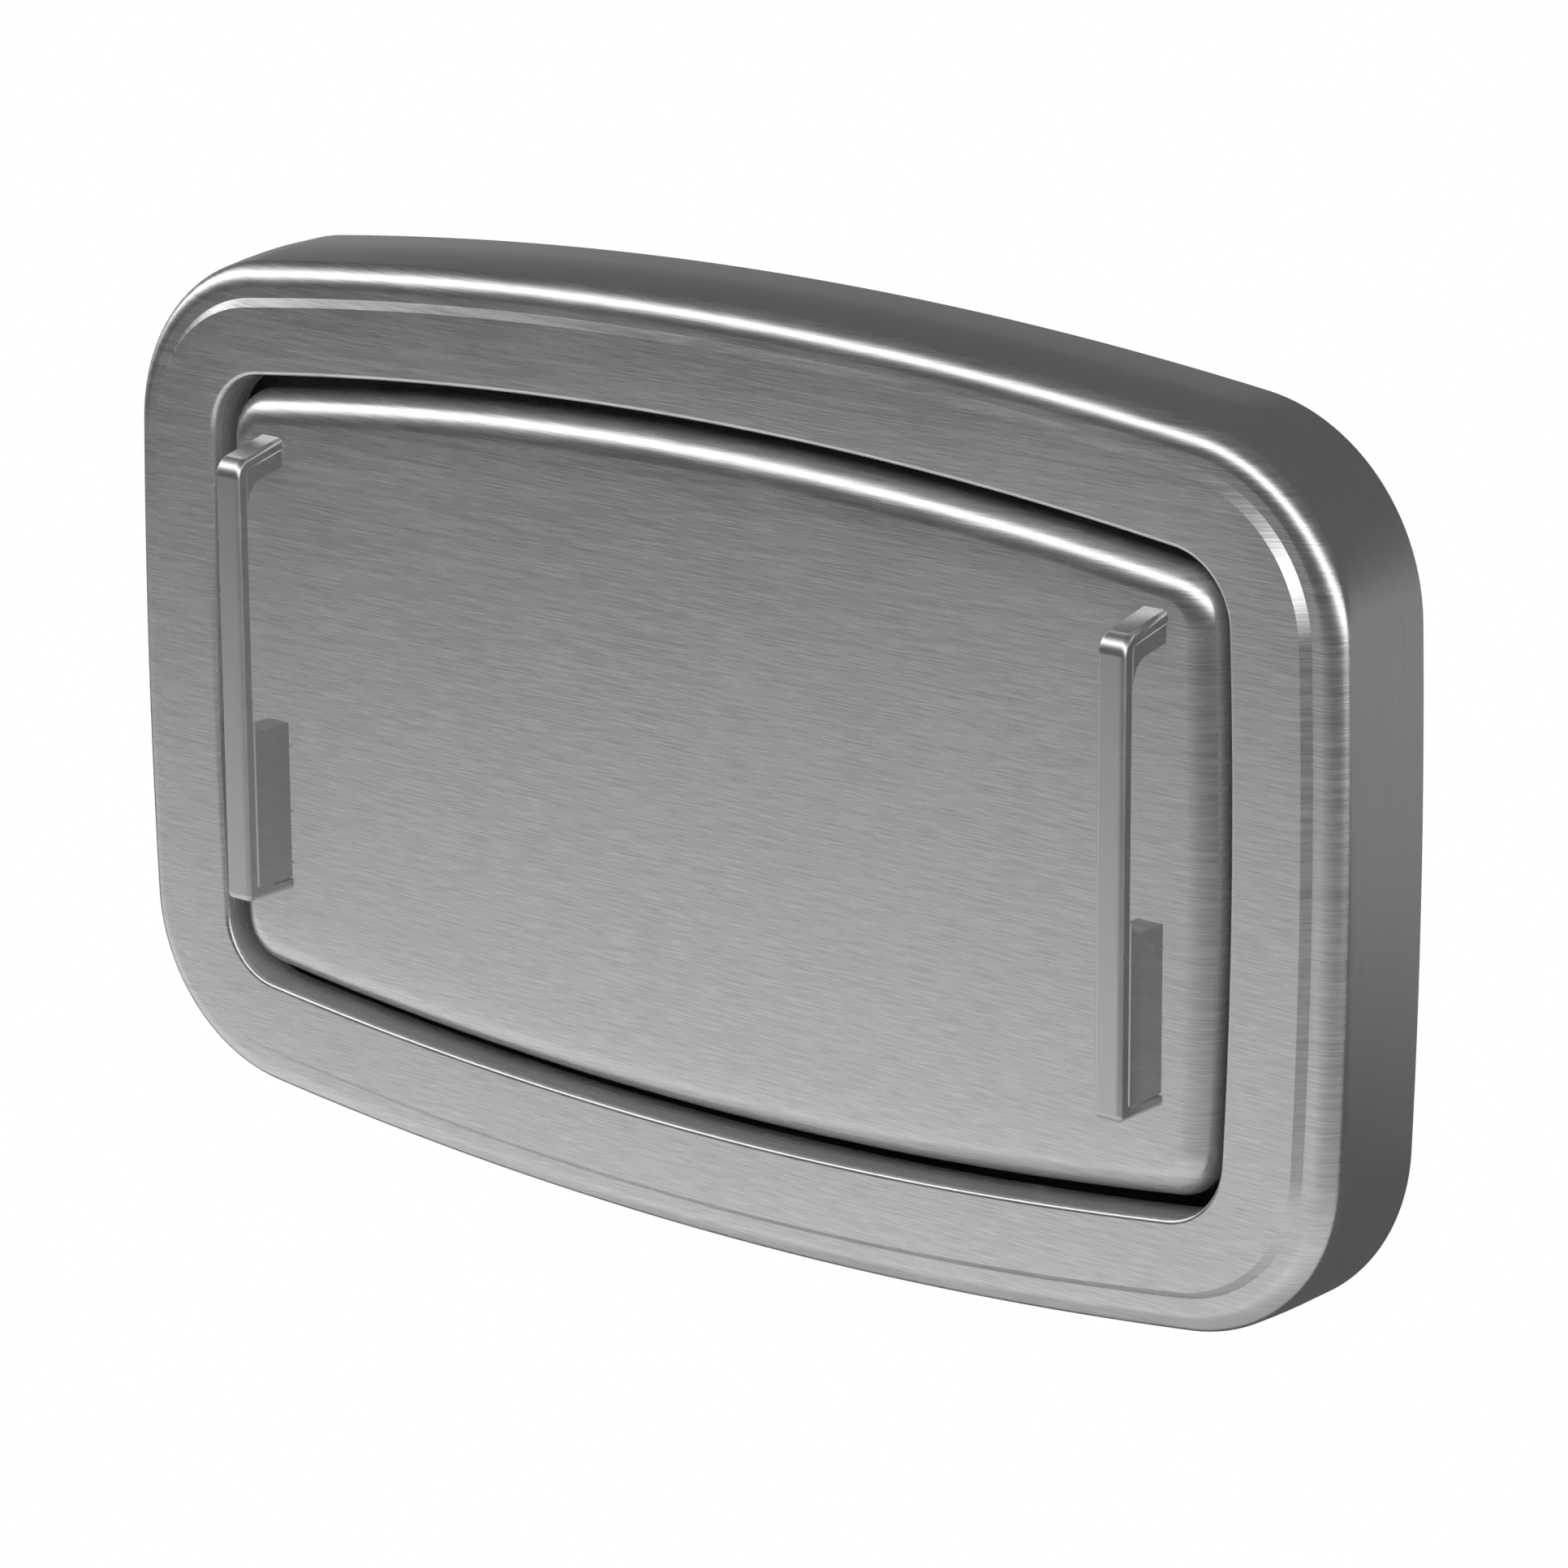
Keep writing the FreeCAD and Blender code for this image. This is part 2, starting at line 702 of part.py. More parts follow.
def build_rail_screws():
    """Screws through the hinge rail into the mounting plates."""
    screws = []
    for place, across in enumerate(RAIL_SCREW_PLACES):
        shaft = rod("RailShank%d" % place, "y", across, PLATE_FRONT, RAIL_SCREW_HEIGHT,
                    "screw_radius - screw_fit", "rail_sheet")
        cap = rod("RailCap%d" % place, "y", across, "%s + rail_sheet" % PLATE_FRONT,
                  RAIL_SCREW_HEIGHT, "screw_head_radius", "screw_head")
        screws.append(fuse("RailScrew%d" % place, [shaft, cap]))
    return keep(group("RailScrews", screws), "rail_screws")


def build_bed_hinge_channel():
    """Channel behind the bed's front that the moving leaf is fixed to."""
    half = "(hinge_length / 2 + bed_channel_overhang)"
    back = "hinge_forward + knuckle_radius"
    low = "hinge_height - bed_channel_drop"
    high = "hinge_height + leaf_width"
    web = box("BedWeb", "-" + half, half, back, "%s + bed_channel_sheet" % back, low, high)
    lower = box("BedLower", "-" + half, half, back, SKIN_BACK, low, "%s + bed_channel_sheet" % low)
    upper = box("BedUpper", "-" + half, half, back, SKIN_BACK, "%s - bed_channel_sheet" % high, high)
    return keep(fuse("BedHingeChannel", [web, lower, upper]), "bed_hinge_channel")


def build_stop_lugs():
    """Two plates that meet the hinge rail from below when the bed is level."""
    toe_back = "-(hinge_forward - rail_web_rise + lug_seat)"
    corners = [("-(%s - soft_gap)" % SKIN_BACK, "hinge_height - bed_channel_drop"),
               ("-(hinge_forward + lug_neck)", "hinge_height - bed_channel_drop"),
               ("-(hinge_forward + lug_neck)", "hinge_height - lug_reach_high"),
               (toe_back, "hinge_height - lug_reach_high"),
               (toe_back, "hinge_height - lug_reach_low"),
               ("-(hinge_forward + lug_toe)", "hinge_height - lug_reach_low"),
               ("-(hinge_forward + lug_heel)", "hinge_height - lug_heel_drop")]
    lugs = []
    for side in ("-", ""):
        body = new_body("StopLug")
        profile = side_sketch(body, "%s(lug_spread / 2)" % side)
        polygon(profile, corners)
        centred_pad(body, profile, "lug_sheet")
        lugs.append(body)
    return keep(group("StopLugs", lugs), "stop_lugs")


def screw(name, across, back, up, shank, head):
    """Screw along Y whose head is behind the sheet at a distance from the wall."""
    shaft = rod(name + "Shank", "y", across, back, up, "screw_radius - screw_fit", shank)
    cap = rod(name + "Head", "y", across, "%s - (%s)" % (back, head), up, "screw_head_radius", head)
    return fuse(name, [shaft, cap])


HANDLE_HOLES = ["handle_root_top - handle_screw_inset",
                "handle_web_top - 2 * handle_screw_inset",
                "handle_web_top - 2 * handle_screw_inset - handle_screw_spacing",
                "handle_web_top - 2 * handle_screw_inset - 2 * handle_screw_spacing + handle_screw_inset"]


def build_door_skin():
    """Stainless front of the bed: a flat panel rolled over into a return all round."""
    body = new_body("DoorSkin")
    outline = front_sketch(body, "casing_depth - door_return")
    bowed_outline(outline, DOOR, "0")
    block = pad(body, outline, "door_return")
    round_edges(body, block, "door_roll", at_forward("casing_depth"))
    inside = new_body("DoorInside")
    hollow = front_sketch(inside, "casing_depth - door_return")
    bowed_outline(hollow, DOOR, "door_sheet")
    core = pad(inside, hollow, "door_return - door_sheet")
    round_edges(inside, core, "door_roll - door_sheet", at_forward(SKIN_BACK))
    subtract(body, inside)
    holes = front_sketch(body, "%s - cut_overrun" % SKIN_BACK)
    for side in ("-", ""):
        for up in HANDLE_HOLES:
            circle_at(holes, "%s(handle_spacing / 2)" % side, up, "screw_radius")
    pocket(body, holes, "door_sheet + 2 * cut_overrun", True)
    return keep(body, "door_skin")


def build_handle(name, label, side):
    """Pull handle: a strap bent round a thin web, with a finger gap behind its bar."""
    middle = "%s(handle_spacing / 2)" % side
    body = new_body(name)
    face, tip = "-casing_depth", "-(casing_depth + handle_reach)"
    bar = "-(casing_depth + handle_reach - handle_bar)"
    profile = side_sketch(body, middle)
    polygon(profile, [(face, "handle_bottom"), (tip, "handle_bottom"), (tip, "handle_front_top"),
                      (face, "handle_root_top"), (face, "handle_root_under"),
                      (bar, "handle_front_under"), (bar, "handle_web_top"), (face, "handle_web_top")])
    base = centred_pad(body, profile, "handle_width")
    front = "casing_depth + handle_reach"
    inner = "casing_depth + handle_reach - handle_bar"
    for forward, up, radius in ((front, "handle_front_top", "handle_front_round"),
                                (front, "handle_bottom", "handle_foot_round"),
                                (inner, "handle_front_under", "handle_finger_round"),
                                (inner, "handle_web_top", "handle_web_round")):
        base = round_edges(body, base, radius, along_x(forward, up))
    half = number("handle_width") / 2
    centre = number(middle)
    back = -number("casing_depth")

    def outer_edge(edge):
        bounds = edge.BoundBox
        on_side = bounds.XLength < 1e-4 and abs(abs(bounds.XMin - centre) - half) < 1e-4
        off_door = bounds.YMin < back - 1e-3
        front_side = bounds.YMin < -number(inner) - 1e-3
        top_side = bounds.ZMin > number("handle_front_top - handle_front_round") - 1e-3
        foot = bounds.ZMax < number("handle_bottom + handle_foot_round") + 1e-3
        return on_side and off_door and (front_side or top_side or foot)
    base = round_edges(body, base, "handle_edge_round", outer_edge)
    for turned in (False, True):
        sign = "-" if turned else "+"
        panel = side_sketch(body, "%s %s handle_width / 2" % (middle, sign))
        slope = "(handle_root_top - handle_front_top) / handle_reach"
        low = "handle_bottom + handle_border"
        high_back = "handle_root_top - handle_border"
        high_front = "handle_root_top - handle_border - %s * (handle_reach - handle_bar)" % slope
        polygon(panel, [("-casing_depth + cut_overrun", low), (bar, low), (bar, high_front),
                        ("-casing_depth + cut_overrun", "%s + %s * cut_overrun" % (high_back, slope))])
        base = pocket(body, panel, "handle_recess", turned)
        depth_place = centre + (half - number("handle_recess")) * (-1 if turned else 1)
        for up in (low, high_front):
            test = along_x(inner, up)
            base = round_edges(body, base, "handle_panel_round",
                               lambda edge: test(edge) and abs(
                                   edge.CenterOfMass.x - centre) < half + 1e-3
                               and abs(edge.CenterOfMass.x - depth_place) < number(
                                   "handle_recess"))
    for up in HANDLE_HOLES:
        holes = front_sketch(body, "casing_depth")
        circle_at(holes, middle, up, "screw_radius")
        pocket(body, holes, "screw_reach", True)
    return keep(body, label)


def build_handle_screws():
    """Screws that hold both handles from behind the door skin."""
    screws = []
    for side_name, side in (("Left", "-"), ("Right", "")):
        for place, up in enumerate(HANDLE_HOLES):
            screws.append(screw("HandleScrew%s%d" % (side_name, place), "%s(handle_spacing / 2)" % side,
                                SKIN_BACK, up, "screw_reach", "screw_head"))
    return keep(group("HandleScrews", screws), "handle_screws")


def panel_outline(sketch, half_width, low, high, corner):
    """Draw an upright rectangle; its corners are rounded by a later fillet."""
    polygon(sketch, [("-%s" % half_width, low), (half_width, low), (half_width, high),
                     ("-%s" % half_width, high)])


POST_PLACES = [("%s(stud_spacing / 2)" % side, up) for side in ("-", "")
               for up in ("panel_post_drop", "panel_post_rise")]


def build_inner_panel():
    """Moulded panel behind the bed, with posts to the mounting plates and the dispenser's window."""
    half = "(panel_width / 2)"
    body = new_body("InnerPanel")
    outline = front_sketch(body, "panel_back")
    panel_outline(outline, half, "panel_bottom", PANEL_TOP, "panel_corner")
    base = pad(body, outline, "panel_wall")
    for side in ("-", ""):
        base = round_edges(body, base, "panel_corner", along_y(side + half, PANEL_TOP))
    posts = front_sketch(body, PLATE_FRONT)
    for across, up in POST_PLACES:
        circle_at(posts, across, up, "panel_post_radius")
    pad(body, posts, "panel_back - %s" % PLATE_FRONT)
    window = front_sketch(body, "panel_back - cut_overrun")
    reach = "(liner_width / 2 + liner_window_gap)"
    polygon(window, [("-" + reach, "liner_bottom - liner_window_gap"),
                     (reach, "liner_bottom - liner_window_gap"),
                     (reach, "liner_top + liner_window_gap"),
                     ("-" + reach, "liner_top + liner_window_gap")])
    pocket(body, window, "panel_wall + 2 * cut_overrun", True)
    holes = front_sketch(body, "panel_back")
    for across, up in POST_PLACES:
        circle_at(holes, across, up, "screw_radius")
    pocket(body, holes, "panel_wall", True)
    bumper_holes = front_sketch(body, PANEL_FRONT)
    for across, up in BUMPER_PLACES:
        circle_at(bumper_holes, across, up, "bumper_hole")
    pocket(body, bumper_holes, "panel_wall - soft_gap", False)
    return keep(body, "inner_panel")


def build_panel_screws():
    """Screws through the inner panel into its posts."""
    screws = []
    for place, (across, up) in enumerate(POST_PLACES):
        shaft = rod("PanelShank%d" % place, "y", across, "panel_back", up, "screw_radius - screw_fit",
                    "panel_wall")
        cap = rod("PanelHead%d" % place, "y", across, PANEL_FRONT, up, "screw_head_radius", "low_head")
        screws.append(fuse("PanelScrew%d" % place, [shaft, cap]))
    return keep(group("PanelScrews", screws), "panel_screws")


BUMPER_PLACES = [("%s(bumper_spread / 2)" % side, up) for side in ("-", "")
                 for up in ("tray_bottom + tray_rim / 2", "tray_top - tray_rim / 2")]


def build_bumpers():
    """Rubber stops that the closed bed's rim nearly touches."""
    stops = []
    for place, (across, up) in enumerate(BUMPER_PLACES):
        pad_piece = rod("BumperPad%d" % place, "y", across, PANEL_FRONT, up, "bumper_radius",
                        "tray_back - soft_gap - %s" % PANEL_FRONT)
        stem = rod("BumperStem%d" % place, "y", across, "%s - panel_wall + 2 * soft_gap" % PANEL_FRONT,
                   up, "bumper_hole - screw_fit", "panel_wall - 2 * soft_gap")
        stops.append(fuse("Bumper%d" % place, [pad_piece, stem]))
    return keep(group("Bumpers", stops), "bumpers")


def build_bed_tray():
    """Moulded bed: a shallow hollow with a round rim, open to the wall side when the bed is shut."""
    half = "(tray_width / 2)"
    body = new_body("BedTray")
    outline = front_sketch(body, "tray_back")
    panel_outline(outline, half, "tray_bottom", "tray_top", "tray_corner")
    base = pad(body, outline, "tray_front - tray_back")
    for side in ("-", ""):
        for up in ("tray_bottom", "tray_top"):
            base = round_edges(body, base, "tray_corner", along_y(side + half, up))
    base = round_edges(body, base, "tray_outer_round", at_forward("tray_front"))
    inside = new_body("TrayInside")
    hollow = front_sketch(inside, "tray_back")
    inner = "(tray_width / 2 - tray_rim)"
    panel_outline(hollow, inner, "tray_bottom + tray_rim", "tray_top - tray_rim",
                  "tray_corner")
    core = pad(inside, hollow, "%s - tray_back" % TRAY_FLOOR, "-tray_draft")
    core = round_edges(inside, core, "tray_corner - tray_rim", slanted)
    round_edges(inside, core, "tray_floor_round", at_forward(TRAY_FLOOR))
    base = subtract(body, inside)
    round_edges(body, base, "tray_rim_round", at_forward("tray_back"))
    holes = front_sketch(body, "tray_back")
    for across, up in TRAY_SCREW_PLACES:
        circle_at(holes, across, up, "screw_radius")
    pocket(body, holes, "screw_reach", True)
    return keep(body, "bed_tray")


TRAY_SCREW_PLACES = [("%s(tray_width / 2 - tray_rim / 2)" % side,
                      "tray_screw_middle + %d * tray_screw_spacing" % step)
                     for side in ("-", "") for step in (-1, 0, 1)]


def build_tray_screws():
    """Screws through the bed's rim."""
    screws = []
    for place, (across, up) in enumerate(TRAY_SCREW_PLACES):
        shaft = rod("TrayShank%d" % place, "y", across, "tray_back", up, "screw_radius - screw_fit",
                    "screw_reach")
        cap = rod("TrayCap%d" % place, "y", across, "tray_back - low_head", up, "screw_head_radius",
                  "low_head")
        screws.append(fuse("TrayScrew%d" % place, [shaft, cap]))
    return keep(group("TrayScrews", screws), "tray_screws")


def slanted(edge):
    """Tell the slanted corner edges of a tapered hollow from all others."""
    bounds = edge.BoundBox
    return min(bounds.XLength, bounds.YLength, bounds.ZLength) > number("tray_floor")


def build_bed_channels():
    """Three upright hat channels between the moulded bed and its stainless front."""
    channels = []
    for place, middle in enumerate(("-hat_offset", "0 * hat_offset", "hat_offset")):
        left, right = "(%s - hat_width / 2)" % middle, "(%s + hat_width / 2)" % middle
        back = "tray_front + soft_gap"
        outer = box("Channel%d" % place, left, right, back, SKIN_BACK, "hat_low_end",
                    "hat_high_end")
        inner = box("ChannelGap%d" % place, "%s + hat_sheet" % left,
                    "%s - hat_sheet" % right, "%s + hat_sheet" % back,
                    "%s + cut_overrun" % SKIN_BACK, "hat_low_end - cut_overrun", "hat_high_end + cut_overrun")
        channels.append(cut("HatChannel%d" % place, outer, inner))
    return keep(group("BedChannels", channels), "bed_channels")


BRACKET_FACE = "(spring_side - eye_width / 2 - stud_washer - soft_gap)"


def build_spring_brackets():
    """Anchors of the gas spring: one on the inner panel with its stud, one on the bed."""
    face = "-%s" % BRACKET_FACE
    inner = "%s + bracket_sheet" % face
    low, high = "spring_top_height - bracket_half", "spring_top_height + bracket_half"
    upright = box("CasingUpright", face, inner, PANEL_FRONT,
                  "spring_top_forward + bracket_half", low, high)
    foot = box("CasingFoot", face, "%s + bracket_foot" % face, PANEL_FRONT,
               "%s + bracket_sheet" % PANEL_FRONT, low, high)
    stud = rod("CasingStud", "x", "-(spring_side + eye_width / 2 + bracket_margin)",
               "spring_top_forward", "spring_top_height", "stud_radius - pin_clearance",
               "eye_width + 2 * bracket_margin + soft_gap")
    cap = rod("CasingStudCap", "x", "-(spring_side + eye_width / 2 + bracket_margin)",
              "spring_top_forward", "spring_top_height", "stud_washer_radius",
              "bracket_margin - soft_gap")
    keep(fuse("SpringBracketCasing", [upright, foot, stud, cap]), "spring_bracket_casing")
    bed_low, bed_high = ("%s - bracket_half" % SPRING_LOW_HEIGHT, "%s + bracket_half" %
                         SPRING_LOW_HEIGHT)
    bed_upright = box("BedUpright", face, inner, "%s - stud_washer_radius" % SPRING_LOW_FORWARD,
                      "%s - soft_gap" % SKIN_BACK, bed_low, bed_high)
    bed_foot = box("BedFoot", face, "%s + bracket_foot" % face, "%s - bracket_sheet" % SKIN_BACK,
                   "%s - soft_gap" % SKIN_BACK, bed_low, bed_high)
    keep(fuse("SpringBracketBed", [bed_upright, bed_foot]), "spring_bracket_bed")


def along_spring(thing):
    """Turn a piece that hangs straight down from the origin into the gas spring's line."""
    thing.Placement = FreeCAD.Placement(FreeCAD.Vector(), FreeCAD.Rotation(FreeCAD.Vector(1, 0, 0), 1))
    bind(thing, "Placement.Base.x", "-spring_side")
    bind(thing, "Placement.Base.y", "-spring_top_forward")
    bind(thing, "Placement.Base.z", "spring_top_height")
    bind(thing, "Placement.Rotation.Angle", "-atan(%s / %s)" % (SPRING_RUN, SPRING_FALL))
    return thing


def build_gas_spring():
    """Cylinder and rod of the gas spring, and the stud at the rod's eye."""
    half_eye = "-eye_width / 2"
    tube = rod("Tube", "z", "0", "0", "-(tube_start + tube_length)", "tube_radius", "tube_length")
    eye = rod("TubeEye", "x", half_eye, "0", "0", "eye_radius", "eye_width")
    neck = box("TubeNeck", half_eye, "eye_width / 2", "-rod_radius", "rod_radius", "-tube_start",
               "-stud_radius")
    solid = fuse("TubeSolid", [tube, eye, neck])
    bore = rod("TubeBore", "z", "0", "0", "-(tube_start + tube_length - tube_cap)",
               "tube_radius - tube_wall", "tube_length - 2 * tube_cap")
    gland = rod("TubeGland", "z", "0", "0", "-(tube_start + tube_length + cut_overrun)",
                "rod_radius + pin_clearance", "2 * tube_cap + cut_overrun")
    hole = rod("TubeEyeHole", "x", "%s - cut_overrun" % half_eye, "0", "0", "stud_radius",
               "eye_width + 2 * cut_overrun")
    keep(along_spring(drilled("GasCylinder", solid, [bore, gland, hole])), "gas_cylinder")
    low = "-(%s)" % SPRING_LENGTH
    piston_low = "-(tube_start + piston_start + piston_length)"
    shaft = rod("RodShaft", "z", "0", "0", low, "rod_radius", "%s - piston_length - tube_start - "
                "piston_start" % SPRING_LENGTH)
    piston = rod("RodPiston", "z", "0", "0", piston_low, "piston_radius", "piston_length")
    rod_eye = rod("RodEye", "x", half_eye, "0", low, "eye_radius", "eye_width")
    rod_solid = fuse("RodSolid", [shaft, piston, rod_eye])
    rod_hole = rod("RodEyeHole", "x", "%s - cut_overrun" % half_eye, "0", low, "stud_radius",
                   "eye_width + 2 * cut_overrun")
    keep(along_spring(cut("GasRod", rod_solid, rod_hole)), "gas_rod")
    stud = rod("EndStudPin", "x", "%s - bracket_margin" % half_eye, "0", low,
               "stud_radius - pin_clearance", "eye_width + bracket_margin + soft_gap")
    cap = rod("EndStudCap", "x", "%s - bracket_margin" % half_eye, "0", low, "stud_washer_radius",
              "bracket_margin - soft_gap")
    washer = rod("EndStudWasher", "x", "eye_width / 2 + soft_gap", "0", low, "stud_washer_radius",
                 "stud_washer - soft_gap")
    keep(along_spring(fuse("EndStud", [stud, cap, washer])), "spring_end_stud")


def build_liner_dispenser():
    """Box, tilting cover, its pin and its lock."""
    half = "liner_width / 2"
    outer = box("LinerOuter", "-" + half, half, PLATE_FRONT, "liner_front", "liner_bottom", "liner_top")
    inner = box("LinerInner", "-%s + liner_wall" % half, "%s - liner_wall" % half,
                "%s + liner_wall" % PLATE_FRONT, "liner_front + cut_overrun",
                "liner_bottom + liner_wall",
                "liner_top - liner_wall")
    shell = cut("LinerShell", outer, inner)
    lock_height = "(liner_top - lock_drop)"
    cam_front = "(liner_front + liner_cover_gap - lock_depth + cam_sheet)"
    keeper_back = "%s + keeper_gap" % cam_front
    keeper = box("Keeper", "keeper_offset", "keeper_offset + keeper_width", keeper_back,
                 "%s + liner_wall" % keeper_back, "liner_top - keeper_drop",
                 "liner_top - liner_wall / 2")
    pin_forward = "(liner_front + liner_cover_gap + liner_knuckle_radius)"
    pin_height = "(liner_bottom - liner_pin_drop)"
    ears = []
    for place, left in (("Left", "-%s" % half), ("Right", "%s - liner_ear" % half)):
        ears.append(box("Ear" + place, left, "%s + liner_ear" % left, "liner_front - liner_wall",
                        "%s + liner_knuckle_radius" % pin_forward,
                        "%s - liner_knuckle_radius" % pin_height,
                        "%s + liner_knuckle_radius" % pin_height))
        ears.append(box("EarRoot" + place, left, "%s + liner_ear" % left, "liner_front - liner_wall",
                        "liner_front", "%s - liner_knuckle_radius" % pin_height,
                        "liner_bottom + liner_wall"))
    body = fuse("LinerSolid", [shell, keeper] + ears)
    ear_bore = rod("EarBore", "x", "-%s - cut_overrun" % half, pin_forward, pin_height, "liner_pin_radius",
                   "liner_width + 2 * cut_overrun")
    keep(cut("LinerBox", body, ear_bore), "liner_box")
    pin = rod("LinerPin", "x", "-" + half, pin_forward, pin_height, "liner_pin_radius - pin_clearance",
              "liner_width")
    keep(pin, "liner_cover_pin")

    back = "(liner_front + liner_cover_gap)"
    plate = box("CoverPlate", "-%s + liner_cover_gap" % half, "%s - liner_cover_gap" % half, back,
                "%s + liner_cover_sheet" % back, "liner_bottom + liner_cover_gap", "liner_top")
    tabs = []
    for place, middle in enumerate(("-liner_width / 3", "0 * liner_width", "liner_width / 3")):
        left = "(%s - liner_knuckle_length / 2)" % middle
        tabs.append(rod("CoverKnuckle%d" % place, "x", left, pin_forward, pin_height,
                        "liner_knuckle_radius", "liner_knuckle_length"))
        tabs.append(box("CoverTab%d" % place, left, "%s + liner_knuckle_length" % left, back,
                        "%s + liner_cover_sheet" % back, pin_height,
                        "liner_bottom + 2 * liner_cover_gap"))
    solid = fuse("CoverSolid", [plate] + tabs)
    slot = box("CoverSlot", "-liner_slot_width / 2", "liner_slot_width / 2", "%s - cut_overrun" % back,
               "%s + liner_cover_sheet + cut_overrun" % back, "liner_bottom + liner_slot_rise",
               "liner_bottom + liner_slot_rise + liner_slot_height")
    bore = rod("CoverBore", "x", "-%s" % half, pin_forward, pin_height, "liner_pin_radius",
               "liner_width")
    lock_hole = rod("CoverLockHole", "y", "0", "%s - cut_overrun" % back, lock_height, "lock_radius",
                    "liner_cover_sheet + 2 * cut_overrun")
    keep(drilled("LinerCover", solid, [slot, bore, lock_hole]), "liner_cover")

    start = "(%s - lock_depth + cam_sheet + cam_sheet)" % back
    barrel = rod("LockBarrel", "y", "0", start, lock_height, "lock_radius",
                 "%s + liner_cover_sheet - %s" % (back, start))
    head = rod("LockHead", "y", "0", "%s + liner_cover_sheet" % back, lock_height, "lock_head_radius",
               "lock_head")
    lock_bore = rod("LockBore", "y", "0", "%s - cut_overrun" % start, lock_height,
                    "lock_core_radius + lock_core_gap", "lock_depth + 3 * cut_overrun")
    keep(cut("LockBody", fuse("LockSolid", [barrel, head]), lock_bore), "lock_body")
    cam_back = "(%s - cam_sheet)" % cam_front
    core = rod("LockCore", "y", "0", cam_front, lock_height, "lock_core_radius",
               "%s + liner_cover_sheet + lock_head - %s" % (back, cam_front))
    key = box("LockKey", "-lock_key_width / 2", "lock_key_width / 2",
              "%s + liner_cover_sheet + lock_head - lock_key_depth" % back,
              "%s + liner_cover_sheet + lock_head + cut_overrun" % back,
              "%s - lock_key_height / 2" % lock_height, "%s + lock_key_height / 2" % lock_height)
    keep(cut("LockCoreCut", core, key), "lock_core")
    cam = box("LockCamPlate", "-cam_width / 2", "cam_width / 2", cam_back, cam_front,
              "%s - cam_length" % lock_height, "%s + cam_width / 2" % lock_height)
    keep(cam, "lock_cam")


BUCKLE_LOW = "buckle_low_end"
BUCKLE_SPLIT = "(buckle_low_end + buckle_receiver_length)"
BUCKLE_HIGH = "(buckle_low_end + buckle_receiver_length + buckle_plug_length)"


def build_strap():
    """Strap with its two floor anchors, the buckle's halves and the loose tail."""
    half = "strap_width / 2"
    floor = TRAY_FLOOR
    anchors = []
    for place, middle in enumerate(("anchor_low_height", "anchor_high_height")):
        anchors.append(box("Anchor%d" % place, "-anchor_width / 2", "anchor_width / 2",
                           "%s - anchor_sheet" % floor, floor, "%s - anchor_height / 2" % middle,
                           "%s + anchor_height / 2" % middle))
    keep(group("StrapAnchors", anchors), "strap_anchors")
    back = "%s - strap_lift - strap_sheet" % floor
    front = "%s - strap_lift" % floor
    keep(box("StrapLower", "-" + half, half, back, front, "anchor_low_height + anchor_height / 2",
             BUCKLE_LOW), "strap_lower")
    keep(box("StrapUpper", "-" + half, half, back, front, BUCKLE_HIGH,
             "anchor_high_height - anchor_height / 2"), "strap_upper")
    keep(box("StrapTail", "-" + half, half, "%s - strap_sheet - strap_lift" % back,
             "%s - strap_lift" % back, "tail_end", BUCKLE_LOW), "strap_tail")
    for name, label, low, high, wide in (
            ("BuckleReceiver", "buckle_receiver", BUCKLE_LOW, BUCKLE_SPLIT, "buckle_width"),
            ("BucklePlug", "buckle_plug", BUCKLE_SPLIT, BUCKLE_HIGH, "buckle_neck")):
        body = new_body(name)
        outline = front_sketch(body, "%s - strap_lift - buckle_thick" % floor)
        reach = "%s / 2" % wide
        low_reach = reach if label == "buckle_receiver" else "buckle_width / 2"
        polygon(outline, [("-" + reach, low), (reach, low), (low_reach, high), ("-" + low_reach, high)])
        base = pad(body, outline, "buckle_thick")
        round_edges(body, base, "buckle_round", at_forward("%s - strap_lift - buckle_thick" % floor))
        keep(body, label)


def build_casing_fixings():
    """Screws under the casing and the hook at its top."""
    screws = []
    full = "((casing_width ^ 2 / 4 + casing_top_bow ^ 2) / (2 * casing_top_bow))"
    for place, share in enumerate((-1, 0, 1)):
        across = "(%d * casing_screw_spread)" % share
        skin = "-(casing_height / 2 - %s + sqrt(%s ^ 2 - %s ^ 2))" % (full, full, across)
        cap = rod("CasingHead%d" % place, "z", across, "casing_screw_forward", skin,
                  "screw_head_radius", "low_head")
        lean = "asin(%s / %s)" % (across, full)
        if share:
            cap.Placement = FreeCAD.Placement(cap.Placement.Base, FreeCAD.Rotation(
                FreeCAD.Vector(0, 1, 0), 1))
            bind(cap, "Placement.Rotation.Angle", "-" + lean)
        bind(cap, "Placement.Base.x", "%s + (low_head + screw_fit) * sin(%s)" % (across, lean))
        bind(cap, "Placement.Base.z", "%s - (low_head + screw_fit) * cos(%s)" % (skin, lean))
        screws.append(cap)
    keep(group("CasingScrews", screws), "casing_screws")
    top = "(casing_height / 2 - casing_sheet - hook_seat)"
    block = box("HookBlock", "-hook_width / 2", "hook_width / 2", "pan_flange + soft_gap", "hook_front",
                "%s - hook_height" % top, top)
    finger = box("HookFinger", "-hook_width / 2", "hook_width / 2", "hook_back",
                 "pan_flange + 2 * soft_gap", "%s - hook_height" % top,
                 "casing_height / 2 - %s - pan_sheet - hook_seat" % PAN_INSET)
    keep(fuse("CasingHook", [block, finger]), "casing_hook")


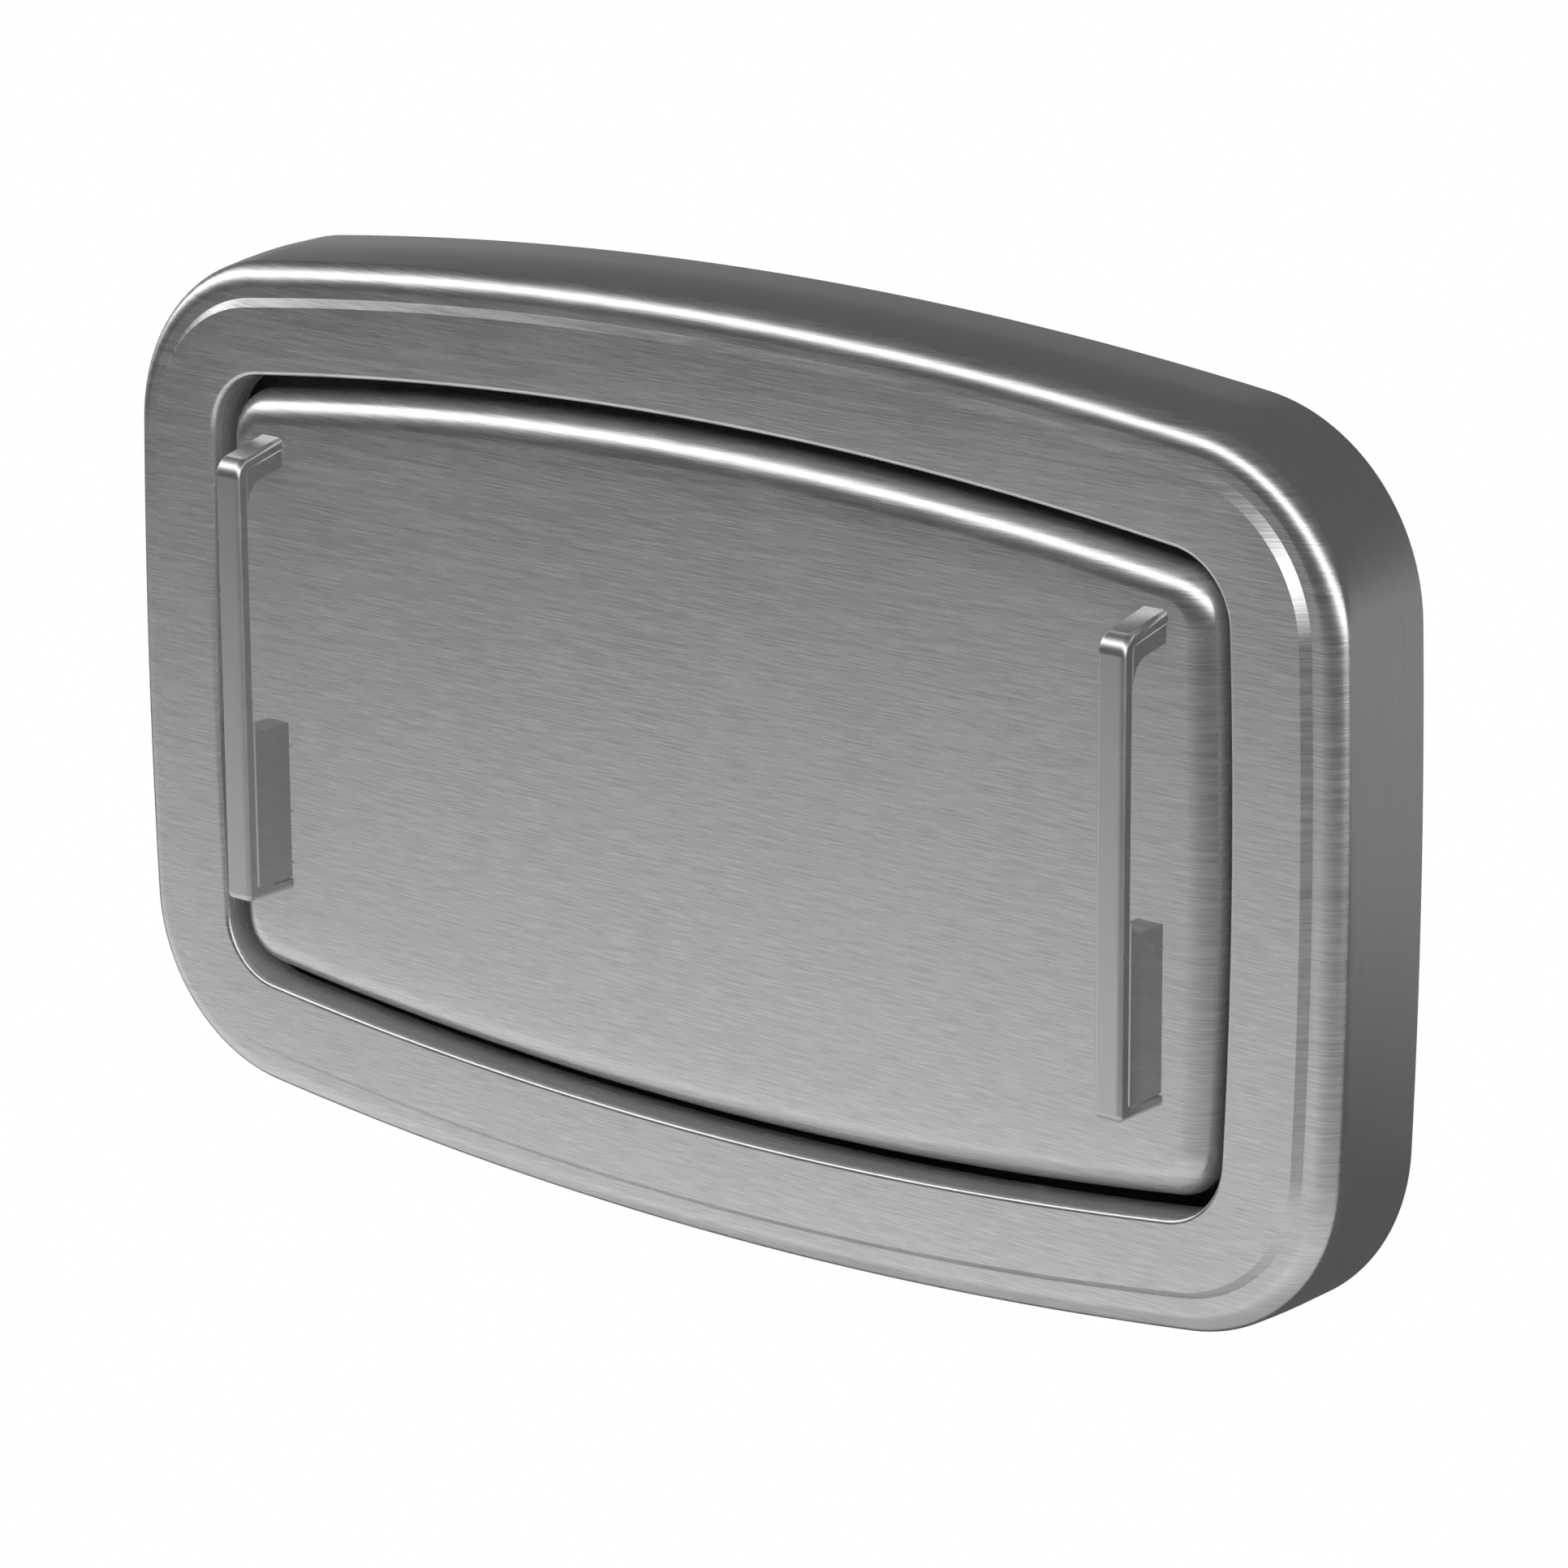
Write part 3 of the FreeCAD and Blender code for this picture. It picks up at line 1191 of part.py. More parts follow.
def check_and_write():
    """Check every object and sub-part, then write one file for each node."""
    doc.recompute()
    failed = [item.Label for item in doc.Objects if "Invalid" in item.State or "Error" in item.State]
    if failed:
        raise RuntimeError("failed objects: " + ", ".join(failed))
    os.makedirs("parts", exist_ok=True)
    for node in nodes:
        shape = node.Shape
        if shape.isNull() or not shape.isValid() or not shape.Solids:
            raise RuntimeError("bad shape: " + node.Label)
    for node in nodes:
        node.Shape.exportStep("parts/%s.step" % node.Label)
        bounds = node.Shape.BoundBox
        print("%-22s solids %d  volume %.0f  x %.1f %.1f  y %.1f %.1f  z %.1f %.1f" % (
            node.Label, len(node.Shape.Solids), node.Shape.Volume, bounds.XMin, bounds.XMax,
            bounds.YMin, bounds.YMax, bounds.ZMin, bounds.ZMax))
    print("nodes", len(nodes))


build_surround()
build_back_pan()
build_mounting_plates()
build_inner_panel()
build_panel_screws()
build_bumpers()
build_hinge_rail()
build_rail_screws()
build_hinge_leaf("LeafFixed", "hinge_leaf_fixed", "even")
build_hinge_leaf("LeafBed", "hinge_leaf_bed", "odd")
build_hinge_pin()
build_bed_hinge_channel()
build_stop_lugs()
build_door_skin()
build_handle("HandleLeft", "handle_left", "-")
build_handle("HandleRight", "handle_right", "")
build_handle_screws()
build_bed_tray()
build_tray_screws()
build_bed_channels()
build_spring_brackets()
build_gas_spring()
build_liner_dispenser()
build_strap()
build_casing_fixings()
check_and_write()
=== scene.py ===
"""Looks of a wall-mounted baby changing station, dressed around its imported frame.

Lengths are in metres in the part's own frame: the wall is the plane Y = 0, the front faces -Y, +X
is to the right seen from the front and +Z is up. Forward means the distance from the wall.
"""

import json
import logging
import math
from collections.abc import Callable
from dataclasses import dataclass, field
from enum import Enum

import bmesh
import bpy
import numpy as np
from mathutils import Matrix, Vector


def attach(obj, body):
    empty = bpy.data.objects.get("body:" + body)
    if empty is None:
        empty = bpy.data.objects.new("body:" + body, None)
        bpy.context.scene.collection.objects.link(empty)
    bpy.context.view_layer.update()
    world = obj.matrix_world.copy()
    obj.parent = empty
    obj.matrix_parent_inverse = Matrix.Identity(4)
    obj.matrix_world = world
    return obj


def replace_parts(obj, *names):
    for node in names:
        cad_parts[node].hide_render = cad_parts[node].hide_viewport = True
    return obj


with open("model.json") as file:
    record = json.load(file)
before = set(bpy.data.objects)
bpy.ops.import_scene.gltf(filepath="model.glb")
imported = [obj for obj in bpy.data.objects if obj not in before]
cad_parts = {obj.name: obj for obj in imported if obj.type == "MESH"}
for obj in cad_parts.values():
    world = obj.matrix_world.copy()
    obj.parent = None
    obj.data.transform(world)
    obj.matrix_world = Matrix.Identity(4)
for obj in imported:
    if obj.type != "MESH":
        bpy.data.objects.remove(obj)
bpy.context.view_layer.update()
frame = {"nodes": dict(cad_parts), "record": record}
WALL_LEAN = 0.3  # a face whose normal points less than this forward or back is part of a wall

Loop = list[tuple[float, float]]
Triple = tuple[float, float, float]
Colour = tuple[float, float, float, float]
Piece = bpy.types.Object
Socket = bpy.types.NodeSocket
Value = Socket | float | tuple[float, ...]
EdgeTest = Callable[[bmesh.types.BMEdge], bool]
log = logging.getLogger("changing_station")


def grey(level: float, warm: float = 0.0) -> Colour:
    """Returns a grey of that linear level, a little warmer or cooler where warm isn't nought."""
    return (level * (1.0 + warm), level, level * (1.0 - warm), 1.0)


# ---- Shapes seen from the front and from the side


@dataclass(frozen=True)
class Outline:
    """A rounded rectangle with bowed sides, seen from the front.

    Attributes:
        half_width: from the middle to the side at mid height.
        half_height: from the middle to the top at mid width.
        side_bow: how far a side stands out at mid height over its ends.
        top_bow: how far the top stands up at mid width over its ends.
        corner: radius of the corners.
    """

    half_width: float
    half_height: float
    side_bow: float
    top_bow: float
    corner: float

    SIDE_STEPS = 24
    CORNER_STEPS = 26
    TOP_STEPS = 44

    def grown(self, outset: float) -> "Outline":
        """Returns the outline a distance outside this one."""
        return Outline(self.half_width + outset, self.half_height + outset, self.side_bow,
                       self.top_bow, self.corner + outset)

    def arcs(self) -> list[tuple[float, float, float, float, float, int]]:
        """Returns the eight arcs in turn: centre across and up, radius, start, end and steps."""
        wide, high = self.half_width, self.half_height
        top_radius = (wide ** 2 + self.top_bow ** 2) / (2 * self.top_bow)
        side_radius = (high ** 2 + self.side_bow ** 2) / (2 * self.side_bow)
        top_centre, side_centre = high - top_radius, wide - side_radius
        reach_top, reach_side = top_radius - self.corner, side_radius - self.corner
        gap = math.hypot(top_centre, side_centre)
        along = (reach_top ** 2 - reach_side ** 2 + gap ** 2) / (2 * gap)
        aside = math.sqrt(reach_top ** 2 - along ** 2)
        step = (side_centre / gap, -top_centre / gap)
        across = along * step[0] + aside * step[1]
        up = top_centre + along * step[1] - aside * step[0]
        lean_top = math.atan2(across, up - top_centre)
        lean_side = math.atan2(up, across - side_centre)
        shapes = ((side_centre, 0.0, side_radius, self.SIDE_STEPS),
                  (across, up, self.corner, self.CORNER_STEPS),
                  (0.0, top_centre, top_radius, self.TOP_STEPS),
                  (-across, up, self.corner, self.CORNER_STEPS))
        ends = (-lean_side, lean_side, math.pi / 2 - lean_top, math.pi / 2 + lean_top,
                math.pi - lean_side)
        return [(sign * centre[0], sign * centre[1], radius, turn + start, turn + end, steps)
                for sign, turn in ((1, 0.0), (-1, math.pi))
                for (*centre, radius, steps), start, end in zip(shapes, ends, ends[1:])]

    def loop(self) -> Loop:
        """Returns the outline's points, anticlockwise from the foot of the right side."""
        points = []
        for across, up, radius, start, end, steps in self.arcs():
            for count in range(steps):
                angle = start + (end - start) * count / steps
                points.append((across + radius * math.cos(angle), up + radius * math.sin(angle)))
        return points


def rounded(corners: list[Triple], steps: int = 8) -> Loop:
    """Rounds the corners of a polygon.

    Args:
        corners: forward, up and radius of each corner, in order.
        steps: how many edges each round gets.

    Returns:
        The points of the rounded polygon, in the same order.
    """
    points: Loop = []
    for place, (forward, up, radius) in enumerate(corners):
        here = Vector((forward, up))
        if radius <= 0:
            points.append((forward, up))
            continue
        before = Vector(corners[place - 1][:2]) - here
        after = Vector(corners[(place + 1) % len(corners)][:2]) - here
        before.normalize()
        after.normalize()
        half = before.angle(after) / 2
        centre = here + (before + after).normalized() * (radius / math.sin(half))
        start = here + before * (radius / math.tan(half)) - centre
        end = here + after * (radius / math.tan(half)) - centre
        turn = start.angle_signed(end)
        for count in range(steps + 1):
            arm = start.copy()
            arm.rotate(Matrix.Rotation(-turn * count / steps, 2))
            points.append(tuple(centre + arm))
    return points


# ---- Everyday steps with Blender's own tools


class Bench:
    """Steps of modelling by hand that several pieces share."""

    @staticmethod
    def deselect() -> None:
        """Leaves edit mode and clears the selection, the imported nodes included."""
        if bpy.context.object and bpy.context.object.mode != "OBJECT":
            bpy.ops.object.mode_set(mode="OBJECT")
        bpy.ops.object.select_all(action="DESELECT")

    @staticmethod
    def activate(piece: Piece) -> None:
        """Makes a piece the only one selected."""
        Bench.deselect()
        bpy.context.view_layer.objects.active = piece
        piece.select_set(True)

    @staticmethod
    def name(piece: Piece, label: str) -> Piece:
        """Names a piece and its mesh."""
        piece.name = label
        piece.data.name = label
        return piece

    @staticmethod
    def start_ring(label: str, loop: Loop, forward: float) -> Piece:
        """Adds a circle and puts its vertices on a loop seen from the front.

        Args:
            label: the piece's name.
            loop: the points across and up.
            forward: how far the loop stands from the wall.

        Returns:
            The new piece, in edit mode, with the loop selected.
        """
        Bench.deselect()
        bpy.ops.mesh.primitive_circle_add(vertices=len(loop), radius=0.3, fill_type="NOTHING")
        piece = Bench.name(bpy.context.object, label)
        step = piece.data.attributes.new("step", "INT", "POINT")
        step.data.foreach_set("value", list(range(len(loop))))
        ring = piece.data.attributes.new("ring", "INT", "POINT")
        ring.data.foreach_set("value", [0] * len(loop))
        for vertex, (across, up) in zip(piece.data.vertices, loop):
            vertex.co = (across, -forward, up)
        bpy.ops.object.mode_set(mode="EDIT")
        bpy.ops.mesh.select_mode(type="EDGE")
        bpy.ops.mesh.select_all(action="SELECT")
        return piece

    @staticmethod
    def grow_ring(piece: Piece, loop: Loop, forward: float, number: int) -> None:
        """Extrudes the selected ring and puts the new one on another loop.

        Args:
            piece: the piece in edit mode.
            loop: the points of the new ring, as many as the old one has.
            forward: how far the new ring stands from the wall.
            number: the new ring's number, by which it is selected later.
        """
        bpy.ops.mesh.extrude_region_move(TRANSFORM_OT_translate={"value": (0.0, 0.0, 0.0)})
        mesh = bmesh.from_edit_mesh(piece.data)
        step, ring = mesh.verts.layers.int["step"], mesh.verts.layers.int["ring"]
        for vertex in mesh.verts:
            if vertex.select:
                across, up = loop[vertex[step]]
                vertex.co = (across, -forward, up)
                vertex[ring] = number
        bmesh.update_edit_mesh(piece.data)

    @staticmethod
    def pick_ring(piece: Piece, number: int) -> None:
        """Selects the edges along one ring."""
        mesh = bmesh.from_edit_mesh(piece.data)
        ring = mesh.verts.layers.int["ring"]
        Bench.pick_edges(piece, lambda edge: all(v[ring] == number for v in edge.verts))

    @staticmethod
    def pick_edges(piece: Piece, wanted: EdgeTest) -> None:
        """Selects the edges, of a piece in edit mode, that a test accepts."""
        bpy.ops.mesh.select_mode(type="EDGE")
        bpy.ops.mesh.select_all(action="DESELECT")
        mesh = bmesh.from_edit_mesh(piece.data)
        for edge in [edge for edge in mesh.edges if wanted(edge)]:
            edge.select = True
        mesh.select_flush_mode()
        bmesh.update_edit_mesh(piece.data)

    @staticmethod
    def round_picked(radius: float, segments: int) -> None:
        """Rounds the selected edges."""
        bpy.ops.mesh.bevel(offset=radius, segments=segments, profile=0.5, affect="EDGES",
                           clamp_overlap=True)

    @staticmethod
    def face_outwards(piece: Piece) -> None:
        """Merges doubles and points the faces outwards, judged by the ones that face the front."""
        bpy.ops.object.mode_set(mode="EDIT")
        bpy.ops.mesh.select_all(action="SELECT")
        bpy.ops.mesh.remove_doubles(threshold=1e-6)
        bpy.ops.mesh.normals_make_consistent(inside=False)
        bpy.ops.object.mode_set(mode="OBJECT")
        front = min(piece.data.polygons, key=lambda face: (round(face.center.y, 5), -face.area))
        if front.normal.y > 0:
            bpy.ops.object.mode_set(mode="EDIT")
            bpy.ops.mesh.flip_normals()
            bpy.ops.object.mode_set(mode="OBJECT")

    @staticmethod
    def modifier(piece: Piece, kind: str, **settings: object) -> None:
        """Adds a modifier with its settings and applies it."""
        Bench.activate(piece)
        added = piece.modifiers.new(kind.title(), kind)
        for key, value in settings.items():
            setattr(added, key, value)
        bpy.ops.object.modifier_apply(modifier=added.name)

    @staticmethod
    def smooth(piece: Piece, angle: float = 36.0, flat_faces: bool = True) -> None:
        """Shades a piece smooth up to an angle.

        Args:
            piece: the finished piece.
            angle: the sharpest edge, in degrees, that is still shaded smooth.
            flat_faces: whether large flat faces stay flat up to their rounds.
        """
        Bench.activate(piece)
        bpy.ops.object.shade_smooth_by_angle(angle=math.radians(angle))
        if flat_faces:
            Bench.modifier(piece, "WEIGHTED_NORMAL", keep_sharp=True, weight=80)

    @staticmethod
    def filled(label: str, places: list[Triple], push: Triple) -> Piece:
        """Fills a ring of places and extrudes it.

        Args:
            label: the piece's name.
            places: the ring's points.
            push: how far and which way it is extruded.

        Returns:
            The solid piece, in edit mode.
        """
        Bench.deselect()
        bpy.ops.mesh.primitive_circle_add(vertices=len(places), radius=0.1, fill_type="NOTHING")
        piece = Bench.name(bpy.context.object, label)
        for vertex, place in zip(piece.data.vertices, places):
            vertex.co = place
        bpy.ops.object.mode_set(mode="EDIT")
        bpy.ops.mesh.select_all(action="SELECT")
        bpy.ops.mesh.edge_face_add()
        bpy.ops.mesh.extrude_region_move(TRANSFORM_OT_translate={"value": push})
        bpy.ops.mesh.select_all(action="SELECT")
        bpy.ops.mesh.normals_make_consistent(inside=False)
        return piece

    @staticmethod
    def slab(label: str, profile: Loop, middle: float, half: float) -> Piece:
        """Makes a slab that reaches half to each side of its middle, from points seen sideways."""
        places = [(middle - half, -forward, up) for forward, up in profile]
        return Bench.filled(label, places, (2 * half, 0.0, 0.0))

    @staticmethod
    def plate(label: str, loop: Loop, back: float, front: float) -> Piece:
        """Makes a plate between two distances from the wall, from points seen from the front."""
        places = [(across, -back, up) for across, up in loop]
        return Bench.filled(label, places, (0.0, back - front, 0.0))

    @staticmethod
    def block(label: str, low: Triple, high: Triple) -> Piece:
        """Adds a box between two corners, each given across, forward and up."""
        Bench.deselect()
        bpy.ops.mesh.primitive_cube_add(size=1.0)
        piece = Bench.name(bpy.context.object, label)
        for vertex in piece.data.vertices:
            across, forward, up = (start + (end - start) * (value + 0.5)
                                   for start, end, value in zip(low, high, vertex.co))
            vertex.co = (across, -forward, up)
        bpy.ops.object.mode_set(mode="EDIT")
        bpy.ops.mesh.select_all(action="SELECT")
        bpy.ops.mesh.normals_make_consistent(inside=False)
        bpy.ops.object.mode_set(mode="OBJECT")
        return piece

    @staticmethod
    def cut(piece: Piece, cutter: Piece) -> None:
        """Takes a cutter's shape out of a piece and clears the cutter away."""
        Bench.modifier(piece, "BOOLEAN", operation="DIFFERENCE", object=cutter, solver="EXACT")
        Bench.activate(cutter)
        bpy.ops.object.delete()

    @staticmethod
    def join(pieces: list[Piece], label: str) -> Piece:
        """Joins pieces into the first one and names it."""
        Bench.activate(pieces[0])
        for piece in pieces[1:]:
            piece.select_set(True)
        bpy.ops.object.join()
        return Bench.name(pieces[0], label)

    @staticmethod
    def drop_layers(piece: Piece) -> None:
        """Takes the modelling numbers off a finished mesh."""
        for name in ("step", "ring"):
            found = piece.data.attributes.get(name)
            if found:
                piece.data.attributes.remove(found)


def lay_grain(piece: Piece, outline: Outline) -> None:
    """Writes the UV map that brushed steel reads: U along the grain, V across it, in metres.

    The front is brushed along X. The walls are brushed along the outline, as a bent strip is.

    Args:
        piece: the finished piece.
        outline: the outline that its walls follow.
    """
    loop = np.array(outline.loop())
    ahead = np.roll(loop, -1, 0) - loop
    lengths = np.linalg.norm(ahead, axis=1)
    travelled = np.concatenate([[0.0], np.cumsum(lengths)[:-1]])
    total = float(lengths.sum())
    directions = ahead / lengths[:, None]
    mesh = piece.data
    places = np.array([vertex.co for vertex in mesh.vertices])
    flat = places[:, [0, 2]]
    nearest = np.empty(len(flat), int)
    for start in range(0, len(flat), 4000):
        part = flat[start:start + 4000]
        nearest[start:start + 4000] = ((part[:, None] - loop[None]) ** 2).sum(2).argmin(1)
    round_way = travelled[nearest] + ((flat - loop[nearest]) * directions[nearest]).sum(1)
    layer = mesh.uv_layers.new(name="grain")
    for face in mesh.polygons:
        corners = [(loop_index, mesh.loops[loop_index].vertex_index)
                   for loop_index in face.loop_indices]
        if abs(face.normal.y) > WALL_LEAN:
            for loop_index, vertex in corners:
                layer.data[loop_index].uv = (places[vertex][0], places[vertex][2])
            continue
        turns = [round_way[vertex] for _, vertex in corners]
        high = max(turns)
        for (loop_index, vertex), turn in zip(corners, turns):
            around = turn + total if high - turn > total / 2 else turn
            layer.data[loop_index].uv = (around, places[vertex][1])


# ---- Finishes


class GrainFrom(Enum):
    """Where a brushed finish takes the direction of its grain from."""

    GRAIN_MAP = "the piece's own UV map"
    ALONG_X = "the part's X axis"


class NodeBoard:
    """A material's node tree, with short ways to add and join nodes."""

    def __init__(self, name: str) -> None:
        """Starts a material of that name, with a Principled shader on its surface."""
        self.material = bpy.data.materials.new(name)
        self.material.use_nodes = True
        self.tree = self.material.node_tree
        self.tree.nodes.clear()
        self.output = self.add("ShaderNodeOutputMaterial")
        self.shader = self.add("ShaderNodeBsdfPrincipled")
        self.show(self.shader.outputs["BSDF"])

    def add(self, kind: str, inputs: dict[str | int, Value] | None = None,
            **settings: object) -> bpy.types.Node:
        """Adds a node.

        Args:
            kind: its type.
            inputs: what its inputs get: a socket to join or a plain value.
            settings: its properties.

        Returns:
            The node.
        """
        node = self.tree.nodes.new(kind)
        for key, value in settings.items():
            setattr(node, key, value)
        self.fill(node, inputs or {})
        return node

    def fill(self, node: bpy.types.Node, inputs: dict[str | int, Value]) -> None:
        """Joins sockets to a node's inputs and sets plain values on them."""
        for key, value in inputs.items():
            if isinstance(value, Socket):
                self.tree.links.new(value, node.inputs[key])
            else:
                node.inputs[key].default_value = value

    def show(self, look: Socket) -> None:
        """Puts a shader on the surface, in place of the one there."""
        self.fill(self.output, {"Surface": look})

    def finish(self, inputs: dict[str | int, Value]) -> bpy.types.Material:
        """Fills the Principled shader's inputs and returns the material."""
        self.fill(self.shader, inputs)
        return self.material

    def place(self, source: GrainFrom | None = None) -> Socket:
        """Returns the part's own coordinates, or those that a grain reads."""
        if source is GrainFrom.GRAIN_MAP:
            return self.add("ShaderNodeUVMap", uv_map="grain").outputs["UV"]
        return self.add("ShaderNodeTexCoord").outputs["Object"]

    def mapped(self, place: Socket, **inputs: Triple) -> Socket:
        """Returns coordinates moved or scaled by a Mapping node."""
        return self.add("ShaderNodeMapping", {"Vector": place, **inputs}).outputs["Vector"]

    def noise(self, place: Socket, scale: float, detail: float = 2.0,
              rough: float = 0.5) -> Socket:
        """Returns the value of a noise texture on coordinates."""
        return self.add("ShaderNodeTexNoise", {"Vector": place, "Scale": scale, "Detail": detail,
                                               "Roughness": rough}).outputs["Fac"]

    def ramp(self, value: Socket, low: float, high: float, start: float = 0.0,
             end: float = 1.0) -> Socket:
        """Maps a value from the range start to end onto low to high."""
        return self.add("ShaderNodeMapRange", {"Value": value, "From Min": start, "From Max": end,
                                               "To Min": low, "To Max": high}).outputs["Result"]

    def math(self, operation: str, *values: Value, clamp: bool = False) -> Socket:
        """Returns the result of a Math node on sockets and numbers."""
        return self.add("ShaderNodeMath", dict(enumerate(values)), operation=operation,
                        use_clamp=clamp).outputs[0]

    def vector(self, operation: str, *values: Value) -> Socket:
        """Returns the number that a Vector Math node makes of sockets and plain vectors."""
        return self.add("ShaderNodeVectorMath", dict(enumerate(values)),
                        operation=operation).outputs["Value"]

    def sum(self, first: Socket, second: Socket, share: float) -> Socket:
        """Adds a share of the second value to the first."""
        return self.math("MULTIPLY_ADD", second, share, first)

    def blend(self, value: Socket, first: Colour, second: Colour) -> Socket:
        """Mixes two colours by a value."""
        node = self.add("ShaderNodeMix", {"Factor": value, "A": first, "B": second},
                        data_type="RGBA")
        return next(socket for socket in node.outputs if socket.type == "RGBA")

    def bump(self, height: Socket, distance: float) -> None:
        """Puts a height on the shader's normal."""
        node = self.add("ShaderNodeBump", {"Height": height, "Distance": distance,
                                           "Strength": 1.0})
        self.finish({"Normal": node.outputs["Normal"]})

    def wear(self) -> Socket:
        """Returns a soft cloudy value over the part, from nought to one."""
        return self.ramp(self.noise(self.place(), 7.0, 3.0, 0.55), 0.0, 1.0, 0.3, 0.7)

    def glow(self, colour: Value, strength: Value = 1.0) -> Socket:
        """Returns a shader that gives off light of its own."""
        return self.add("ShaderNodeEmission", {"Color": colour,
                                               "Strength": strength}).outputs["Emission"]

    def either(self, share: Socket, first: Socket, second: Socket) -> Socket:
        """Mixes two shaders by a share of the second."""
        return self.add("ShaderNodeMixShader", {0: share, 1: first, 2: second}).outputs["Shader"]


@dataclass(frozen=True)
class BrushedSteel:
    """Stainless sheet brushed in one direction, then handled for years.

    Attributes:
        name: the material's name.
        grain: where the direction of the brushing comes from.
        level: how much light the metal gives back.
        roughness: the middle of its roughness.
        streak_length: how long a brush mark is.
        streak_pitch: how far apart the marks are.
        depth: how deep they are.
        metal: how much of the light it mirrors rather than scatters.
        contrast: how much a mark's tone differs from the rest.
    """

    name: str
    grain: GrainFrom = GrainFrom.GRAIN_MAP
    level: float = 0.555
    roughness: float = 0.26
    streak_length: float = 0.024
    streak_pitch: float = 0.0011
    depth: float = 0.00004
    metal: float = 0.88
    contrast: float = 0.115

    def marks(self, board: NodeBoard, longer: float, wider: float, rough: float) -> Socket:
        """Returns a value that runs in brush marks, larger than the finest by two factors."""
        across = 1.0 / (self.streak_pitch * wider)
        scale = (1.0 / (self.streak_length * longer), across, across)
        return board.noise(board.mapped(board.place(self.grain), Scale=scale), 1.0, 2.0, rough)

    def material(self) -> bpy.types.Material:
        """Builds the material."""
        board = NodeBoard(self.name)
        fine, broad = self.marks(board, 1.0, 1.0, 0.6), self.marks(board, 3.5, 4.0, 0.5)
        cloud = board.wear()
        tone = board.sum(board.sum(fine, broad, 0.5), cloud, 0.08)
        rough = board.ramp(broad, self.roughness - 0.03, self.roughness + 0.03, 0.3, 0.7)
        board.bump(board.sum(fine, broad, 0.6), self.depth)
        return board.finish({
            "Base Color": board.blend(board.ramp(tone, 0.0, 1.0, 0.63, 0.95),
                                      grey(self.level * (1.0 - self.contrast)),
                                      grey(self.level * (1.0 + self.contrast))),
            "Roughness": board.sum(rough, board.ramp(cloud, -0.02, 0.02), 1.0),
            "Metallic": self.metal})


@dataclass(frozen=True)
class SatinMetal:
    """Smooth metal with a fine even satin: handles, plated brackets, rods and screws.

    Attributes:
        name: the material's name.
        tint: its colour.
        roughness: the middle of its roughness.
        mottle: how much its tone varies.
        depth: how deep its fine texture is.
        spread: how much its roughness varies.
        metal: how much of the light it mirrors rather than scatters.
    """

    name: str
    tint: Colour = grey(0.56)
    roughness: float = 0.3
    mottle: float = 0.05
    depth: float = 0.000006
    spread: float = 0.04
    metal: float = 0.9

    def toned(self, share: float) -> Colour:
        """Returns the tint times a share."""
        return tuple(min(1.0, value * share) for value in self.tint[:3]) + (1.0,)

    def material(self) -> bpy.types.Material:
        """Builds the material."""
        board = NodeBoard(self.name)
        place = board.place()
        cloud = board.noise(place, 26.0, 3.0, 0.6)
        board.bump(board.noise(place, 900.0), self.depth)
        return board.finish({
            "Base Color": board.blend(board.ramp(cloud, 0.0, 1.0, 0.3, 0.7),
                                      self.toned(1.0 - self.mottle), self.toned(1.0 + self.mottle)),
            "Roughness": board.ramp(cloud, self.roughness - self.spread,
                                    self.roughness + self.spread, 0.3, 0.7),
            "Metallic": self.metal})


@dataclass(frozen=True)
class MouldedPlastic:
    """Moulded plastic or rubber with a fine eroded grain and a little speckle.

    Attributes:
        name: the material's name.
        tint: its colour.
        fleck: the colour of its specks and rubbed places.
        roughness: the middle of its roughness.
        grain: size of the moulded grain.
        depth: how deep the grain is.
    """

    name: str
    tint: Colour
    fleck: Colour
    roughness: float = 0.45
    grain: float = 0.0012
    depth: float = 0.00005

    def material(self) -> bpy.types.Material:
        """Builds the material."""
        board = NodeBoard(self.name)
        place, cloud = board.place(), board.wear()
        speck = board.ramp(board.noise(place, 0.6 / self.grain, 1.0, 0.4), 0.0, 1.0, 0.6, 0.72)
        board.bump(board.noise(place, 1.0 / self.grain, 3.0, 0.6), self.depth)
        return board.finish({
            "Base Color": board.blend(board.sum(speck, cloud, 0.25), self.tint, self.fleck),
            "Roughness": board.ramp(cloud, self.roughness - 0.06, self.roughness + 0.06)})


@dataclass(frozen=True)
class Webbing:
    """Flat woven strap: ribs across its width and a plain edge.

    Attributes:
        name: the material's name.
        tint: colour of the raised threads.
        hollow: colour between them, darker than the threads as painted shade in the hollows.
        rib: distance from one rib to the next.
    """

    name: str
    tint: Colour
    hollow: Colour
    rib: float = 0.0016

    BAND = 0.314  # width of one band of the wave texture at a scale of one

    def waves(self, board: NodeBoard, way: str, pitch: float, wobble: float) -> Socket:
        """Returns a value that rises and falls along one axis."""
        return board.add("ShaderNodeTexWave", {"Vector": board.place(), "Scale": self.BAND / pitch,
                                               "Distortion": wobble},
                         wave_type="BANDS", bands_direction=way).outputs["Fac"]

    def material(self) -> bpy.types.Material:
        """Builds the material."""
        board = NodeBoard(self.name)
        weave = board.math("MULTIPLY", self.waves(board, "Z", self.rib, 0.4),
                           self.waves(board, "X", self.rib * 1.5, 0.0))
        tone = board.sum(weave, board.noise(board.place(), 1500.0, 2.0, 0.7), 0.35)
        board.bump(tone, 0.00035)
        # The base colour falls to the hollow colour where the weave is low: painted shade between
        # the ribs.
        return board.finish({
            "Base Color": board.blend(board.ramp(tone, 0.0, 1.0, 0.1, 1.1), self.hollow, self.tint),
            "Roughness": 0.82, "Sheen Weight": 0.25})


